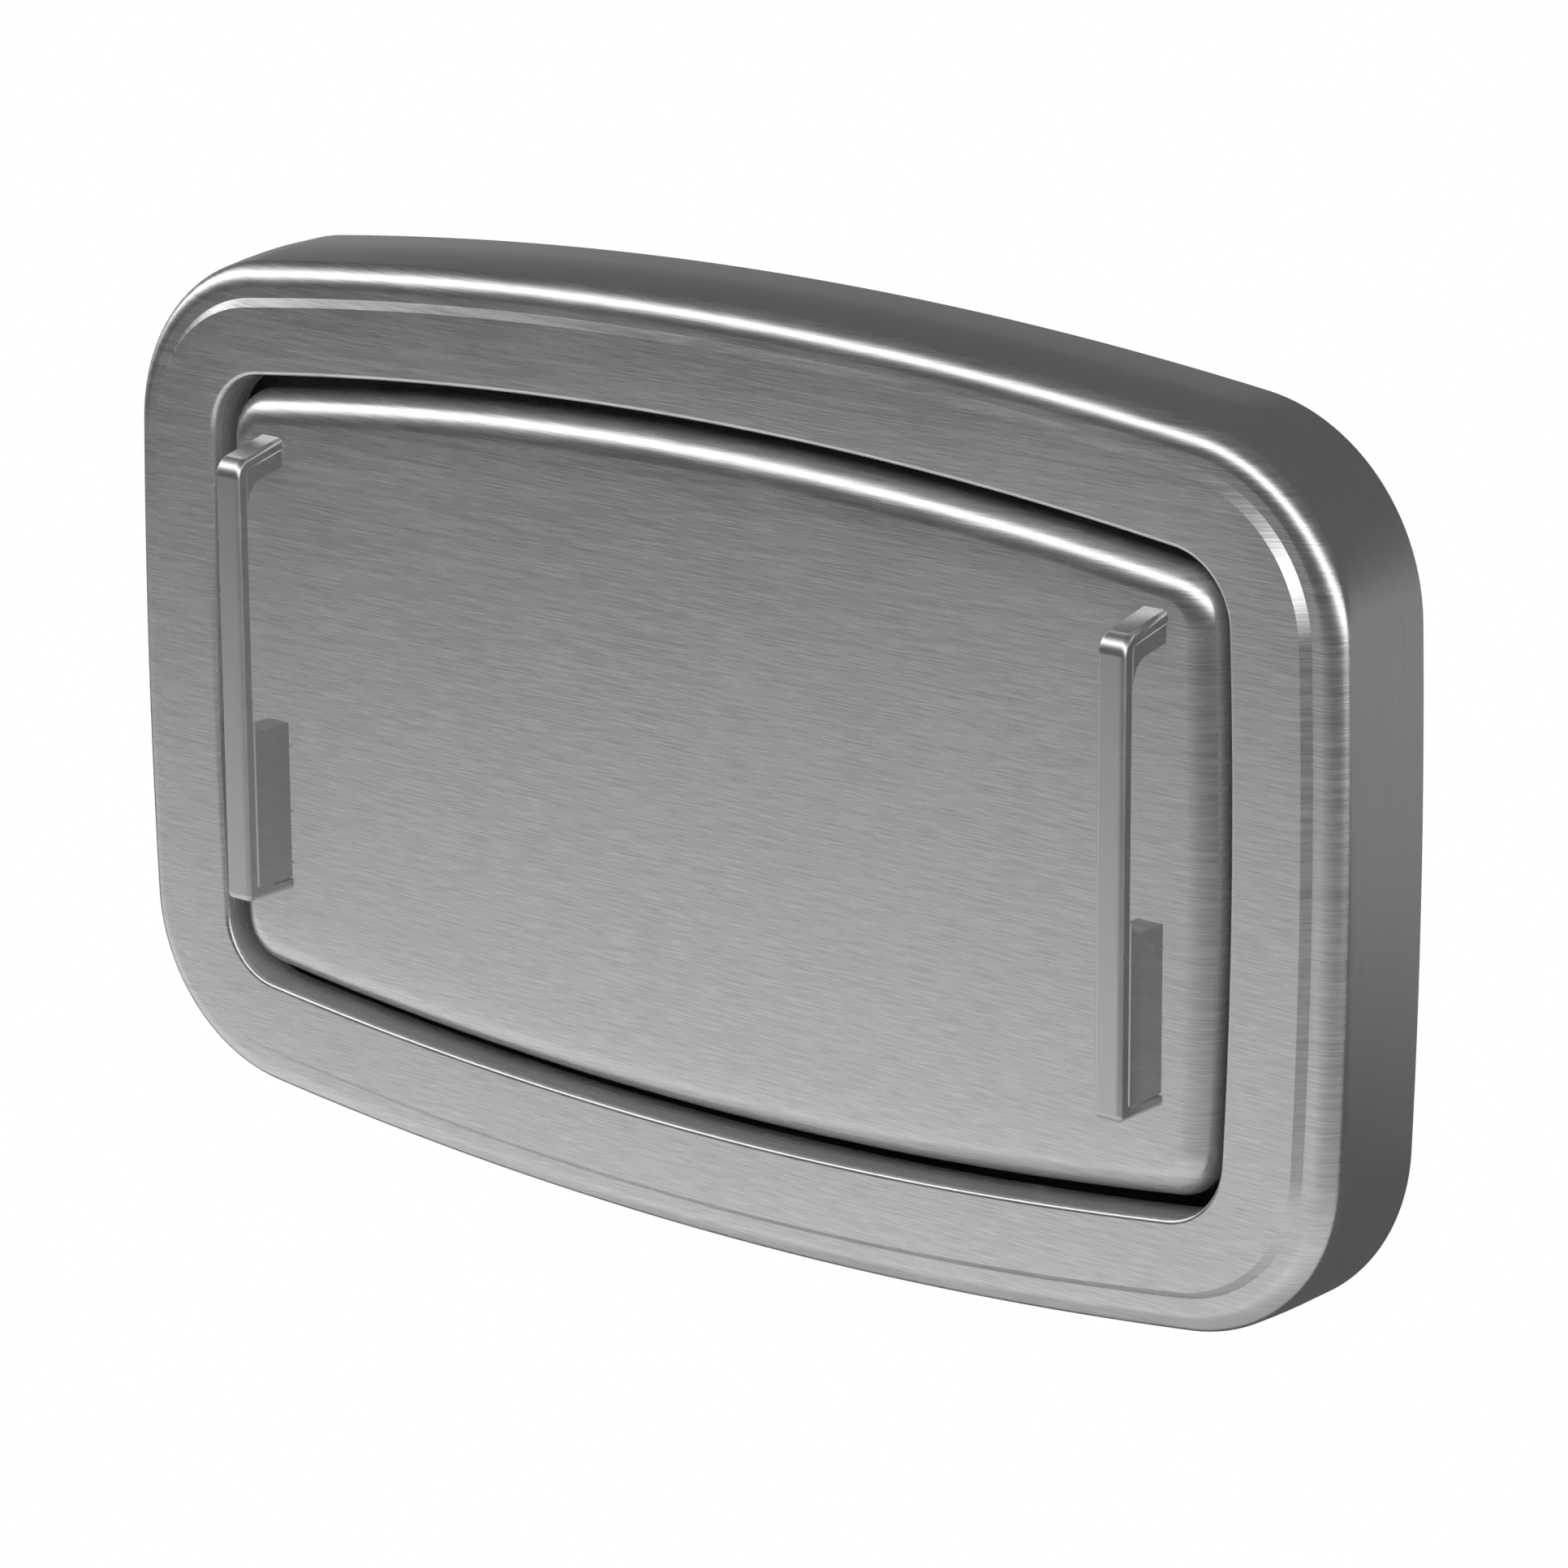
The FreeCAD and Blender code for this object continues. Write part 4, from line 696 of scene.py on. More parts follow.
@dataclass
class FinishRack:
    """Every finish of the part, built once and shared by its pieces."""

    FINISHES = {
        "casing": BrushedSteel("brushed_casing_steel"),
        "wall": BrushedSteel("brushed_wall_steel", roughness=0.2, depth=0.00002, contrast=0.03),
        # Painted light: a lighter, more diffuse copy of the brushed steel for the opening's return
        # walls, so that the gap round the bed reads lit rather than in shade.
        "painted_light_return": BrushedSteel("brushed_steel_painted_light_return", level=0.62, depth=0.00002, metal=0.5,
                            contrast=0.05),
        "door": BrushedSteel("brushed_door_steel"),
        "pan": BrushedSteel("brushed_pan_steel", GrainFrom.ALONG_X, 0.5, 0.34),
        "handle": SatinMetal("satin_handle_steel", grey(0.52), 0.26, 0.02, 0.000004, 0.02, 0.86),
        "zinc": SatinMetal("zinc_plate", (0.55, 0.56, 0.58, 1.0), 0.38, 0.12, 0.00001, 0.08),
        "hinge": SatinMetal("hinge_steel", grey(0.52), 0.33, 0.08),
        "screw": SatinMetal("screw_steel", grey(0.6), 0.24, 0.06),
        "rod": SatinMetal("polished_rod", grey(0.7), 0.1, 0.02, 0.000001, 0.02),
        "paint": MouldedPlastic("black_paint", grey(0.02), grey(0.035), 0.36, 0.0022, 0.00003),
        "bed": MouldedPlastic("grey_bed_plastic", grey(0.36), grey(0.25), 0.5, 0.0014, 0.00008),
        "liner": MouldedPlastic("liner_plastic", grey(0.3), grey(0.36), 0.45, 0.0012),
        "black": MouldedPlastic("black_plastic", grey(0.018), grey(0.03), 0.38, 0.0009, 0.00003),
        "rubber": MouldedPlastic("black_rubber", grey(0.025), grey(0.045), 0.7, 0.0007),
        "webbing": Webbing("black_webbing", grey(0.05), grey(0.008)),
    }
    built: dict[str, bpy.types.Material] = field(default_factory=dict)

    def get(self, finish: str) -> bpy.types.Material:
        """Returns the material of a named finish, built the first time it is asked for."""
        if finish not in self.built:
            self.built[finish] = self.FINISHES[finish].material()
        return self.built[finish]

    def dress(self, piece: Piece, finish: str) -> None:
        """Gives a piece one finish, in place of the materials it had."""
        piece.data.materials.clear()
        piece.data.materials.append(self.get(finish))


# ---- Sub-assemblies


@dataclass
class CasingShell:
    """The steel surround: walls, rolled rim, a raised face and the opening for the bed."""

    outer: Outline = Outline(0.480, 0.3035, 0.010, 0.038, 0.126)
    rim: Outline = Outline(0.480, 0.2974, 0.010, 0.038, 0.118)
    face: Outline = Outline(0.4555, 0.273, 0.010, 0.038, 0.094)
    opening: Outline = Outline(0.4058, 0.2270, 0.0075, 0.0284, 0.045)
    rim_drop: float = 0.0012
    rim_forward: float = 0.0825
    face_forward: float = 0.088
    return_forward: float = 0.058
    bevel_width: float = 0.0048
    crown_width: float = 0.030
    crown_fall: float = 0.0005
    lean_start: float = 0.027
    rim_roll: float = 0.0142
    opening_round: float = 0.003
    # Painted light: how far outside the opening the lighter return steel reaches.
    painted_light_return_reach: float = 0.006
    sheet: float = 0.0015

    def model(self) -> Piece:
        """Builds the shell ring by ring, rolls its rim and gives it its sheet thickness.

        In front of the pan's flange the top and the bottom lean inwards as they come forward, the
        top more than the bottom, and the face falls a little towards the opening.
        """
        piece = Bench.start_ring("casing_shell", self.outer.loop(), 0.0)
        base = self.outer.loop()
        rim = [(across, up - self.rim_drop) for across, up in self.rim.loop()]
        rings = [(base, self.lean_start)]
        for share in (0.25, 0.5):
            ease = share ** 1.5
            rings.append(([(low[0] + (high[0] - low[0]) * ease, low[1] + (high[1] - low[1]) * ease)
                           for low, high in zip(base, rim)],
                          self.lean_start + (self.rim_forward - self.lean_start) * share))
        last = len(rings) + 1
        rings += [(rim, self.rim_forward),
                  (self.face.grown(self.bevel_width).loop(), self.rim_forward),
                  (self.face.loop(), self.face_forward),
                  (self.opening.grown(self.crown_width).loop(), self.face_forward),
                  (self.opening.loop(), self.face_forward - self.crown_fall),
                  (self.opening.loop(), self.return_forward)]
        for number, (loop, forward) in enumerate(rings, 1):
            Bench.grow_ring(piece, loop, forward, number)
        Bench.pick_ring(piece, last)
        Bench.round_picked(self.rim_roll, 14)
        Bench.pick_ring(piece, last + 4)
        Bench.round_picked(self.opening_round, 5)
        Bench.face_outwards(piece)
        Bench.drop_layers(piece)
        Bench.modifier(piece, "SOLIDIFY", thickness=self.sheet, offset=-1.0, use_even_offset=True)
        Bench.smooth(piece, 30.0)
        lay_grain(piece, self.outer)
        return piece

    def build(self, rack: FinishRack) -> Piece:
        """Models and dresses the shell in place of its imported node."""
        piece = self.model()
        rack.dress(piece, "casing")
        piece.data.materials.append(rack.get("wall"))
        piece.data.materials.append(rack.get("painted_light_return"))
        # Wall faces get the wall steel. Those round the opening get the lighter, more diffuse
        # steel, which paints light into the gap round the bed.
        inside = self.opening.grown(self.painted_light_return_reach)
        for face in piece.data.polygons:
            if abs(face.normal.y) <= WALL_LEAN:
                painted_light_return = (abs(face.center.x) < inside.half_width
                       and abs(face.center.z) < inside.half_height)
                face.material_index = 2 if painted_light_return else 1
        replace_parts(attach(piece, "casing"), "surround")
        return piece


@dataclass
class BedFront:
    """The bed's front sheet: a shallow pan with a wide rolled edge."""

    outline: Outline = Outline(0.397, 0.2175, 0.0075, 0.0284, 0.033)
    back_forward: float = 0.058
    face_forward: float = 0.088
    roll: float = 0.022
    crown_width: float = 0.020
    crown_corner: float = 0.008
    sheet: float = 0.0012

    def model(self) -> Piece:
        """Extrudes the outline, fills the front and rolls its edge, which eases into the flat."""
        piece = Bench.start_ring("bed_front", self.outline.loop(), self.back_forward)
        Bench.grow_ring(piece, self.outline.loop(), self.face_forward, 1)
        inner = Outline(self.outline.half_width - self.roll - self.crown_width,
                        self.outline.half_height - self.roll - self.crown_width,
                        self.outline.side_bow, self.outline.top_bow, self.crown_corner)
        Bench.grow_ring(piece, inner.loop(), self.face_forward, 2)
        bpy.ops.mesh.edge_face_add()
        Bench.pick_ring(piece, 1)
        Bench.round_picked(self.roll, 18)
        Bench.face_outwards(piece)
        Bench.drop_layers(piece)
        Bench.modifier(piece, "SOLIDIFY", thickness=self.sheet, offset=-1.0, use_even_offset=True)
        Bench.smooth(piece, 30.0, flat_faces=False)
        lay_grain(piece, self.outline)
        return piece

    def build(self, rack: FinishRack) -> Piece:
        """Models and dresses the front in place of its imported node."""
        piece = self.model()
        rack.dress(piece, "door")
        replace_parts(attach(piece, "bed"), "door_skin")
        return piece


@dataclass
class PullHandle:
    """A pull handle: a strap bent round a thinner web, with a gap for the fingers."""

    centre: float = 0.350
    half_width: float = 0.010
    root: float = 0.088
    tip: float = 0.130
    bar_back: float = 0.122
    foot: float = -0.1345
    front_top: float = 0.1575
    root_top: float = 0.167
    root_under: float = 0.1476
    front_under: float = 0.1415
    web_top: float = -0.022
    border: float = 0.007
    recess: float = 0.0010
    groove: float = 0.0014
    groove_depth: float = 0.0018
    edge_round: float = 0.0034

    @property
    def slope(self) -> float:
        """Says how far the top falls for each metre forward."""
        return (self.root_top - self.front_top) / (self.tip - self.root)

    def strap_profile(self) -> Loop:
        """Returns the bent strap seen from the side, outer path first."""
        inner_back = self.root_top - self.border
        inner_front = inner_back - self.slope * (self.bar_back - self.root)
        return rounded([
            (self.root, self.foot, 0.0), (self.tip, self.foot, 0.005),
            (self.tip, self.front_top, 0.013), (self.root, self.root_top, 0.0),
            (self.root, inner_back, 0.0), (self.bar_back, inner_front, 0.004),
            (self.bar_back, self.foot + self.border, 0.004),
            (self.root, self.foot + self.border, 0.0)])

    def web_profiles(self, gap: float, sink: float = 0.0) -> dict[str, Loop]:
        """Returns the webs under and over the finger gap, seen from the side.

        Args:
            gap: how far they stay off the strap; less than nothing where they run into it.
            sink: how far their free edges lie behind those of the webs proper.

        Returns:
            The profile of each web, by its name.
        """
        edge = self.bar_back - 2.2 * gap
        corner = min(edge, self.bar_back) - 0.0002
        low, top = self.foot + self.border + gap, self.web_top - sink
        roof, under = self.root_top - self.border - gap, self.front_under + sink
        return {
            "low_web": rounded([
                (self.root, low, 0.0), (edge, low, 0.0), (edge, top + 0.008, 0.0),
                (corner, top + 0.008, 0.0), (corner, top, 0.0079), (self.root, top, 0.0)]),
            "high_web": rounded([
                (self.root, self.root_under + sink, 0.0), (corner, under, 0.0138),
                (corner, under - 0.0125, 0.0), (edge, under - 0.0125, 0.0),
                (edge, roof - self.slope * (edge - self.root), 0.0), (self.root, roof, 0.0)])}

    def strap_edge(self, link: bmesh.types.BMEdge) -> bool:
        """Says whether an edge runs along the outside of the strap, at one of its sides."""
        for vertex in link.verts:
            forward, up = -vertex.co.y, vertex.co.z
            top = self.root_top - self.slope * (forward - self.root)
            outer = (forward > self.bar_back + 0.002 or up < self.foot + 1e-4 or up > top - 0.001)
            if not outer or abs(vertex.co.x - self.centre) <= self.half_width - 1e-5:
                return False
        return (abs(link.verts[0].co.x - link.verts[1].co.x) < 1e-5
                and sum(abs(f.normal.x) < 0.5 and f.normal.y < 0.9 for f in link.link_faces) == 1)

    def web_edge(self, link: bmesh.types.BMEdge) -> bool:
        """Says whether an edge runs along the finger gap, at one of a web's sides."""
        width = self.half_width - self.recess - 1e-5
        return all(abs(v.co.x - self.centre) >= width and -v.co.y < self.bar_back + 1e-4
                   and self.web_top - 1e-4 < v.co.z < self.root_under + 1e-4 for v in link.verts)

    def model(self) -> Piece:
        """Builds the strap and its two webs, with soft edges, as one piece."""
        strap = Bench.slab("handle_strap", self.strap_profile(), self.centre, self.half_width)
        Bench.pick_edges(strap, self.strap_edge)
        Bench.round_picked(self.edge_round, 5)
        parts = [strap]
        cores = self.web_profiles(-0.002, 0.0015)
        half = self.half_width - self.recess
        for label, profile in self.web_profiles(self.groove).items():
            parts.append(Bench.slab(label + "_core", cores[label], self.centre,
                                    half - self.groove_depth))
            parts.append(Bench.slab(label, profile, self.centre, half))
            Bench.pick_edges(parts[-1], self.web_edge)
            Bench.round_picked(0.0012, 3)
        return Bench.join(parts, "pull_handle_right")

    def build(self, rack: FinishRack) -> list[Piece]:
        """Models one handle, copies it to the other side and dresses both.

        They are left out of glossy rays, because the photo hardly shows them mirrored.
        """
        right = self.model()
        Bench.smooth(right, 40.0)
        left = bpy.data.objects.new("pull_handle_left", right.data.copy())
        left.data.name = "pull_handle_left"
        bpy.context.scene.collection.objects.link(left)
        left.data.transform(Matrix.Translation((-2 * self.centre, 0.0, 0.0)))
        for piece, node in ((right, "handle_right"), (left, "handle_left")):
            rack.dress(piece, "handle")
            piece.visible_glossy = False
            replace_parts(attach(piece, "bed"), node)
        return [right, left]


def ribbon(path: Loop, thickness: float, steps: int = 6) -> Loop:
    """Returns the outline of a strap that follows a smooth path, seen from the side.

    Args:
        path: points forward and up that the middle of the strap passes through.
        thickness: how thick the strap is.
        steps: how many edges each stretch of the path gets.

    Returns:
        The closed outline.
    """
    knots = [Vector(point) for point in path]
    knots = [knots[0] * 2 - knots[1], *knots, knots[-1] * 2 - knots[-2]]
    middle = []
    for before, start, end, after in zip(knots, knots[1:], knots[2:], knots[3:]):
        for count in range(steps):
            t = count / steps
            middle.append(0.5 * (2 * start + (end - before) * t
                                 + (2 * before - 5 * start + 4 * end - after) * t * t
                                 + (3 * start - before - 3 * end + after) * t ** 3))
    middle.append(knots[-2])
    sides: tuple[Loop, Loop] = ([], [])
    for place, point in enumerate(middle):
        ahead = middle[min(place + 1, len(middle) - 1)] - middle[max(place - 1, 0)]
        aside = Vector((-ahead.y, ahead.x)).normalized() * (thickness / 2)
        sides[0].append(tuple(point + aside))
        sides[1].append(tuple(point - aside))
    return sides[0] + sides[1][::-1]


@dataclass
class Harness:
    """The flat strap across the bed: two sewn lengths and the loose tail of the long one."""

    half_width: float = 0.019
    sheet: float = 0.0016
    low_end: float = -0.0568
    high_end: float = 0.1068
    on_floor: float = 0.0669
    on_strap: float = 0.0650
    sewn_to: float = -0.0395
    dash: float = 0.0026
    thread: float = 0.0003

    def paths(self) -> dict[str, Loop]:
        """Returns each strap's path, forward and up, from its anchor or its bar.

        The long one runs from its anchor under the socket's bar, its loose tail from over that
        bar to the free end, and the short one from its anchor round the plug's bar and back.
        """
        floor, strap = self.on_floor, self.on_strap
        return {
            "long": [(floor, self.low_end), (floor, -0.02), (floor, 0.02), (floor, 0.038),
                     (0.0667, 0.0432), (0.0643, 0.0453), (0.0608, 0.0453)],
            "tail": [(0.0604, 0.0453), (0.0586, 0.0447), (0.0578, 0.0430), (0.0582, 0.0395),
                     (0.0606, 0.0325), (0.0634, 0.0255), (strap - 0.0002, 0.0175),
                     (strap, 0.006), (strap, -0.010), (strap - 0.0004, -0.024),
                     (strap - 0.0011, -0.0358)],
            "short": [(floor, self.high_end), (floor, 0.0995), (0.0666, 0.0962),
                      (0.0643, 0.0944), (0.0606, 0.0944), (0.0586, 0.0951), (0.0578, 0.0972),
                      (0.0586, 0.0996), (0.0616, 0.1027), (0.0640, 0.1046), (0.0650, 0.1066)]}

    def length(self, label: str, path: Loop) -> Piece:
        """Makes one length of strap with soft edges."""
        piece = Bench.slab(label, ribbon(path, self.sheet), 0.0, self.half_width)
        Bench.pick_edges(piece, lambda edge: abs(edge.verts[0].co.x - edge.verts[1].co.x) < 1e-6
                         and abs(edge.verts[0].co.x) > self.half_width - 1e-6)
        Bench.round_picked(0.0004, 2)
        Bench.deselect()
        return piece

    def stitches(self, forward: float, low: float, high: float) -> list[Piece]:
        """Adds a sewn box with a cross in it.

        Args:
            forward: where the strap's outer side lies.
            low: the foot of the box.
            high: its top.

        Returns:
            The threads.
        """
        reach = self.half_width - 0.004
        corners = [(-reach, low), (reach, low), (reach, high), (-reach, high)]
        runs = list(zip(corners, corners[1:] + corners[:1]))
        runs += [(corners[0], corners[2]), (corners[1], corners[3])]
        threads = []
        for start, end in runs:
            way = Vector(end) - Vector(start)
            count = max(2, round(way.length / (self.dash * 1.35)))
            for number in range(count):
                spot = Vector(start) + way * ((number + 0.5) / count)
                Bench.deselect()
                bpy.ops.mesh.primitive_cylinder_add(
                    vertices=6, radius=self.thread, depth=self.dash,
                    location=(spot.x, -forward, spot.y),
                    rotation=(0.0, math.atan2(way.x, way.y), 0.0))
                threads.append(bpy.context.object)
        return threads

    def build(self, rack: FinishRack) -> list[Piece]:
        """Models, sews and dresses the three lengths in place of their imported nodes."""
        paths = self.paths()
        low = self.length("harness_long_strap", paths["long"])
        fold = self.length("fold", [(self.on_strap, self.low_end), (self.on_strap, -0.048),
                                    (self.on_strap, self.sewn_to)])
        outer = self.on_strap - self.sheet / 2
        low = Bench.join([low, fold, *self.stitches(outer, self.low_end + 0.003,
                                                    self.sewn_to - 0.0025)], "harness_long_strap")
        tail = self.length("harness_loose_tail", paths["tail"])
        high = self.length("harness_short_strap", paths["short"])
        made = []
        for piece, node in ((low, "strap_lower"), (tail, "strap_tail"), (high, "strap_upper")):
            Bench.activate(piece)
            bpy.ops.object.transform_apply(location=True, rotation=True, scale=True)
            Bench.smooth(piece, 50.0)
            rack.dress(piece, "webbing")
            made.append(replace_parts(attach(piece, "bed"), node))
        return made


@dataclass
class SideReleaseBuckle:
    """A moulded buckle: a socket with side windows and a plug with two springing arms."""

    back: float = 0.0569
    front: float = 0.0675
    bar_back: float = 0.0594
    bar_front: float = 0.0652
    socket_low: float = 0.0421
    split: float = 0.0679
    plug_high: float = 0.0979
    half_width: float = 0.0239

    @staticmethod
    def both_sides(half: list[Triple]) -> Loop:
        """Returns a rounded shape from its right half: across, up and radius, from the foot."""
        return rounded(half + [(-across, up, radius) for across, up, radius in reversed(half)], 5)

    def soften(self, piece: Piece, radius: float, segments: int = 3) -> None:
        """Rounds the edges round a plate's two flat faces."""
        Bench.pick_edges(piece, lambda link: len(link.link_faces) == 2
                         and {abs(f.normal.y) > 0.99 for f in link.link_faces} == {True, False})
        Bench.round_picked(radius, segments)
        Bench.deselect()

    def bar_cuts(self, piece: Piece, outer: float, inner: float, far: float) -> None:
        """Leaves a thin bar at the strap end of a half, with a slot behind it.

        Args:
            piece: the half.
            outer: height of the bar's open side.
            inner: height of the bar's other side.
            far: height of the slot's far side.
        """
        reach = 0.0197
        low, high = sorted((inner, far))
        Bench.cut(piece, Bench.block("slot", (-reach, 0.05, low), (reach, 0.075, high)))
        low, high = sorted((outer + (outer - inner) * 0.8, far))
        for start, end in ((0.05, self.bar_back), (self.bar_front, 0.075)):
            Bench.cut(piece, Bench.block("relief", (-reach, start, low), (reach, end, high)))

    def socket(self) -> Piece:
        """Builds the socket, hollow and open at both sides and at its top."""
        wide, low, high = self.half_width, self.socket_low, self.split
        half = [(wide - 0.0012, low, 0.003), (wide, low + 0.009, 0.008),
                (wide - 0.0014, high - 0.006, 0.006), (wide - 0.003, high, 0.0016)]
        piece = Bench.plate("harness_buckle_socket", self.both_sides(half), self.back, self.front)
        self.soften(piece, 0.0024, 5)
        Bench.cut(piece, Bench.block("hollow", (-0.0196, 0.0592, 0.0490), (0.0196, 0.0652, 0.075)))
        Bench.cut(piece, Bench.block("window", (-0.03, 0.0596, 0.0515), (0.03, 0.0648, 0.0625)))
        mouth = Bench.plate("mouth", self.both_sides([(0.011, 0.0625, 0.004),
                                                      (0.016, 0.072, 0.001)]), 0.05, 0.0600)
        Bench.cut(piece, mouth)
        self.bar_cuts(piece, self.socket_low, 0.0436, 0.0470)
        return piece

    def plug(self) -> Piece:
        """Builds the plug: a ribbed grip with its bar, a neck and two arms in the socket."""
        wide, neck = self.half_width, 0.0150
        high = self.plug_high
        half = [(neck - 0.0015, self.split + 0.0004, 0.001), (neck, self.split + 0.004, 0.003),
                (neck - 0.001, 0.0800, 0.005), (wide - 0.0015, 0.0862, 0.005),
                (wide, 0.0905, 0.004), (wide - 0.0012, high, 0.003)]
        grip = Bench.plate("harness_buckle_plug", self.both_sides(half), self.back + 0.0006,
                           self.front - 0.0006)
        self.soften(grip, 0.0020, 4)
        self.bar_cuts(grip, high, 0.0964, 0.0928)
        parts = [grip]
        for side in (-1, 1):
            shape = [(side * 0.0075, self.split + 0.001, 0.0),
                     (side * 0.0125, self.split + 0.001, 0.0),
                     (side * 0.0150, 0.0640, 0.004), (side * 0.0218, 0.0622, 0.001),
                     (side * 0.0226, 0.0560, 0.003), (side * 0.0175, 0.0500, 0.002),
                     (side * 0.0140, 0.0505, 0.001), (side * 0.0110, 0.0600, 0.006)]
            arm = Bench.plate("arm", rounded(shape[::side], 4), 0.0600, 0.0644)
            self.soften(arm, 0.0005, 2)
            parts.append(arm)
        parts.append(Bench.block("tongue", (-0.0030, 0.0604, 0.0510),
                                 (0.0030, 0.0640, self.split + 0.001)))
        for count in range(4):
            up = 0.0745 + 0.0027 * count
            rib = Bench.block("rib", (-0.0085, self.back + 0.0001, up),
                              (0.0085, self.back + 0.0016, up + 0.0012))
            Bench.activate(rib)
            bpy.ops.object.mode_set(mode="EDIT")
            bpy.ops.mesh.select_all(action="SELECT")
            Bench.round_picked(0.0004, 3)
            Bench.deselect()
            parts.append(rib)
        return Bench.join(parts, "harness_buckle_plug")

    def build(self, rack: FinishRack) -> list[Piece]:
        """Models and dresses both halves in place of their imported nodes."""
        made = []
        for piece, node in ((self.socket(), "buckle_receiver"), (self.plug(), "buckle_plug")):
            Bench.smooth(piece, 34.0)
            rack.dress(piece, "black")
            made.append(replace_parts(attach(piece, "bed"), node))
        return made


@dataclass
class HangingHook:
    """The hook under the casing's top, which hangs it on the pan and follows its lean."""

    half_width: float = 0.030
    top: float = 0.3015
    front_top: float = 0.2992
    step: float = 0.2999
    foot: float = 0.2958

    def build(self, rack: FinishRack) -> Piece:
        """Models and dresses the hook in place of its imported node."""
        profile = rounded([(0.010, self.foot, 0.001), (0.045, self.foot, 0.001),
                           (0.045, self.front_top, 0.001), (0.0266, self.top, 0.0005),
                           (0.0266, self.step, 0.0), (0.010, self.step, 0.001)], 4)
        piece = Bench.slab("casing_hanging_hook", profile, 0.0, self.half_width)
        Bench.smooth(piece, 34.0)
        rack.dress(piece, "zinc")
        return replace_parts(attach(piece, "casing"), "casing_hook")


class CarriedParts:
    """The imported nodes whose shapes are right: they keep them and get their finishes."""

    FLAT = {
        "pan": ("back_pan",),
        "bed": ("inner_panel",),
        "zinc": ("mounting_plates", "bed_channels", "spring_bracket_bed",
                 "spring_bracket_casing", "stop_lugs", "bed_hinge_channel",
                 "hinge_rail", "strap_anchors"),
    }
    SMOOTH = {
        "hinge": ("hinge_steel", ("hinge_leaf_fixed", "hinge_leaf_bed", "hinge_pin",
                                  "liner_cover_pin", "spring_end_stud")),
        "screw": ("screw_steel", ("rail_screws", "panel_screws", "handle_screws", "tray_screws",
                                  "casing_screws", "lock_core", "lock_cam")),
        "rod": ("polished_rod", ("gas_rod",)),
        "paint": ("black_paint", ("gas_cylinder",)),
        "bed": ("grey_plastic", ("bed_tray",)),
        "liner": ("liner_plastic", ("liner_box", "liner_cover")),
        "black": ("black_plastic", ("lock_body",)),
        "rubber": ("black_rubber", ("bumpers",)),
    }

    def smoothed(self, node: str, finish: str, rack: FinishRack) -> Piece:
        """Replaces a node by a merged copy that is shaded smooth over its rounds."""
        source = frame["nodes"][node]
        piece = bpy.data.objects.new(node + "_finished", source.data.copy())
        piece.data.name = node + "_finished"
        bpy.context.scene.collection.objects.link(piece)
        Bench.activate(piece)
        bpy.ops.object.mode_set(mode="EDIT")
        bpy.ops.mesh.select_all(action="SELECT")
        bpy.ops.mesh.remove_doubles(threshold=2e-6)
        bpy.ops.mesh.customdata_custom_splitnormals_clear()
        bpy.ops.object.mode_set(mode="OBJECT")
        Bench.smooth(piece, 32.0)
        rack.dress(piece, finish)
        body = next(name for name, members in frame["record"]["behaviour"]["bodies"].items()
                    if node in members)
        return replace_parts(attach(piece, body), node)

    def build(self, rack: FinishRack) -> list[Piece]:
        """Dresses every carried node."""
        made = []
        for finish, nodes in self.FLAT.items():
            for node in nodes:
                carried = frame["nodes"][node]
                rack.dress(carried, finish)
                made.append(carried)
        for finish, (slot, nodes) in self.SMOOTH.items():
            made += [self.smoothed(node, finish, rack) for node in nodes]
        return made


# ---- Studio


@dataclass
class Viewpoint:
    """The camera, at the photograph's viewing angle."""

    azimuth: float = 39.435
    elevation: float = 16.212
    roll: float = -0.307
    lens: float = 153.1
    distance: float = 4.0503
    target: Triple = (0.0737, -0.088, 0.0114)

    def build(self) -> Piece:
        """Adds the camera and makes it the scene's own."""
        turn, rise, lean = (math.radians(value)
                            for value in (self.azimuth, self.elevation, self.roll))
        lens = bpy.data.cameras.new("photo_view")
        lens.lens, lens.sensor_width = self.lens, 36.0
        camera = bpy.data.objects.new("photo_view", lens)
        camera.matrix_world = (Matrix.Translation(self.target) @ Matrix.Rotation(turn, 4, "Z")
                               @ Matrix.Rotation(math.pi / 2 - rise, 4, "X")
                               @ Matrix.Rotation(lean, 4, "Z")
                               @ Matrix.Translation((0.0, 0.0, self.distance)))
        bpy.context.scene.collection.objects.link(camera)
        bpy.context.scene.camera = camera
        return camera


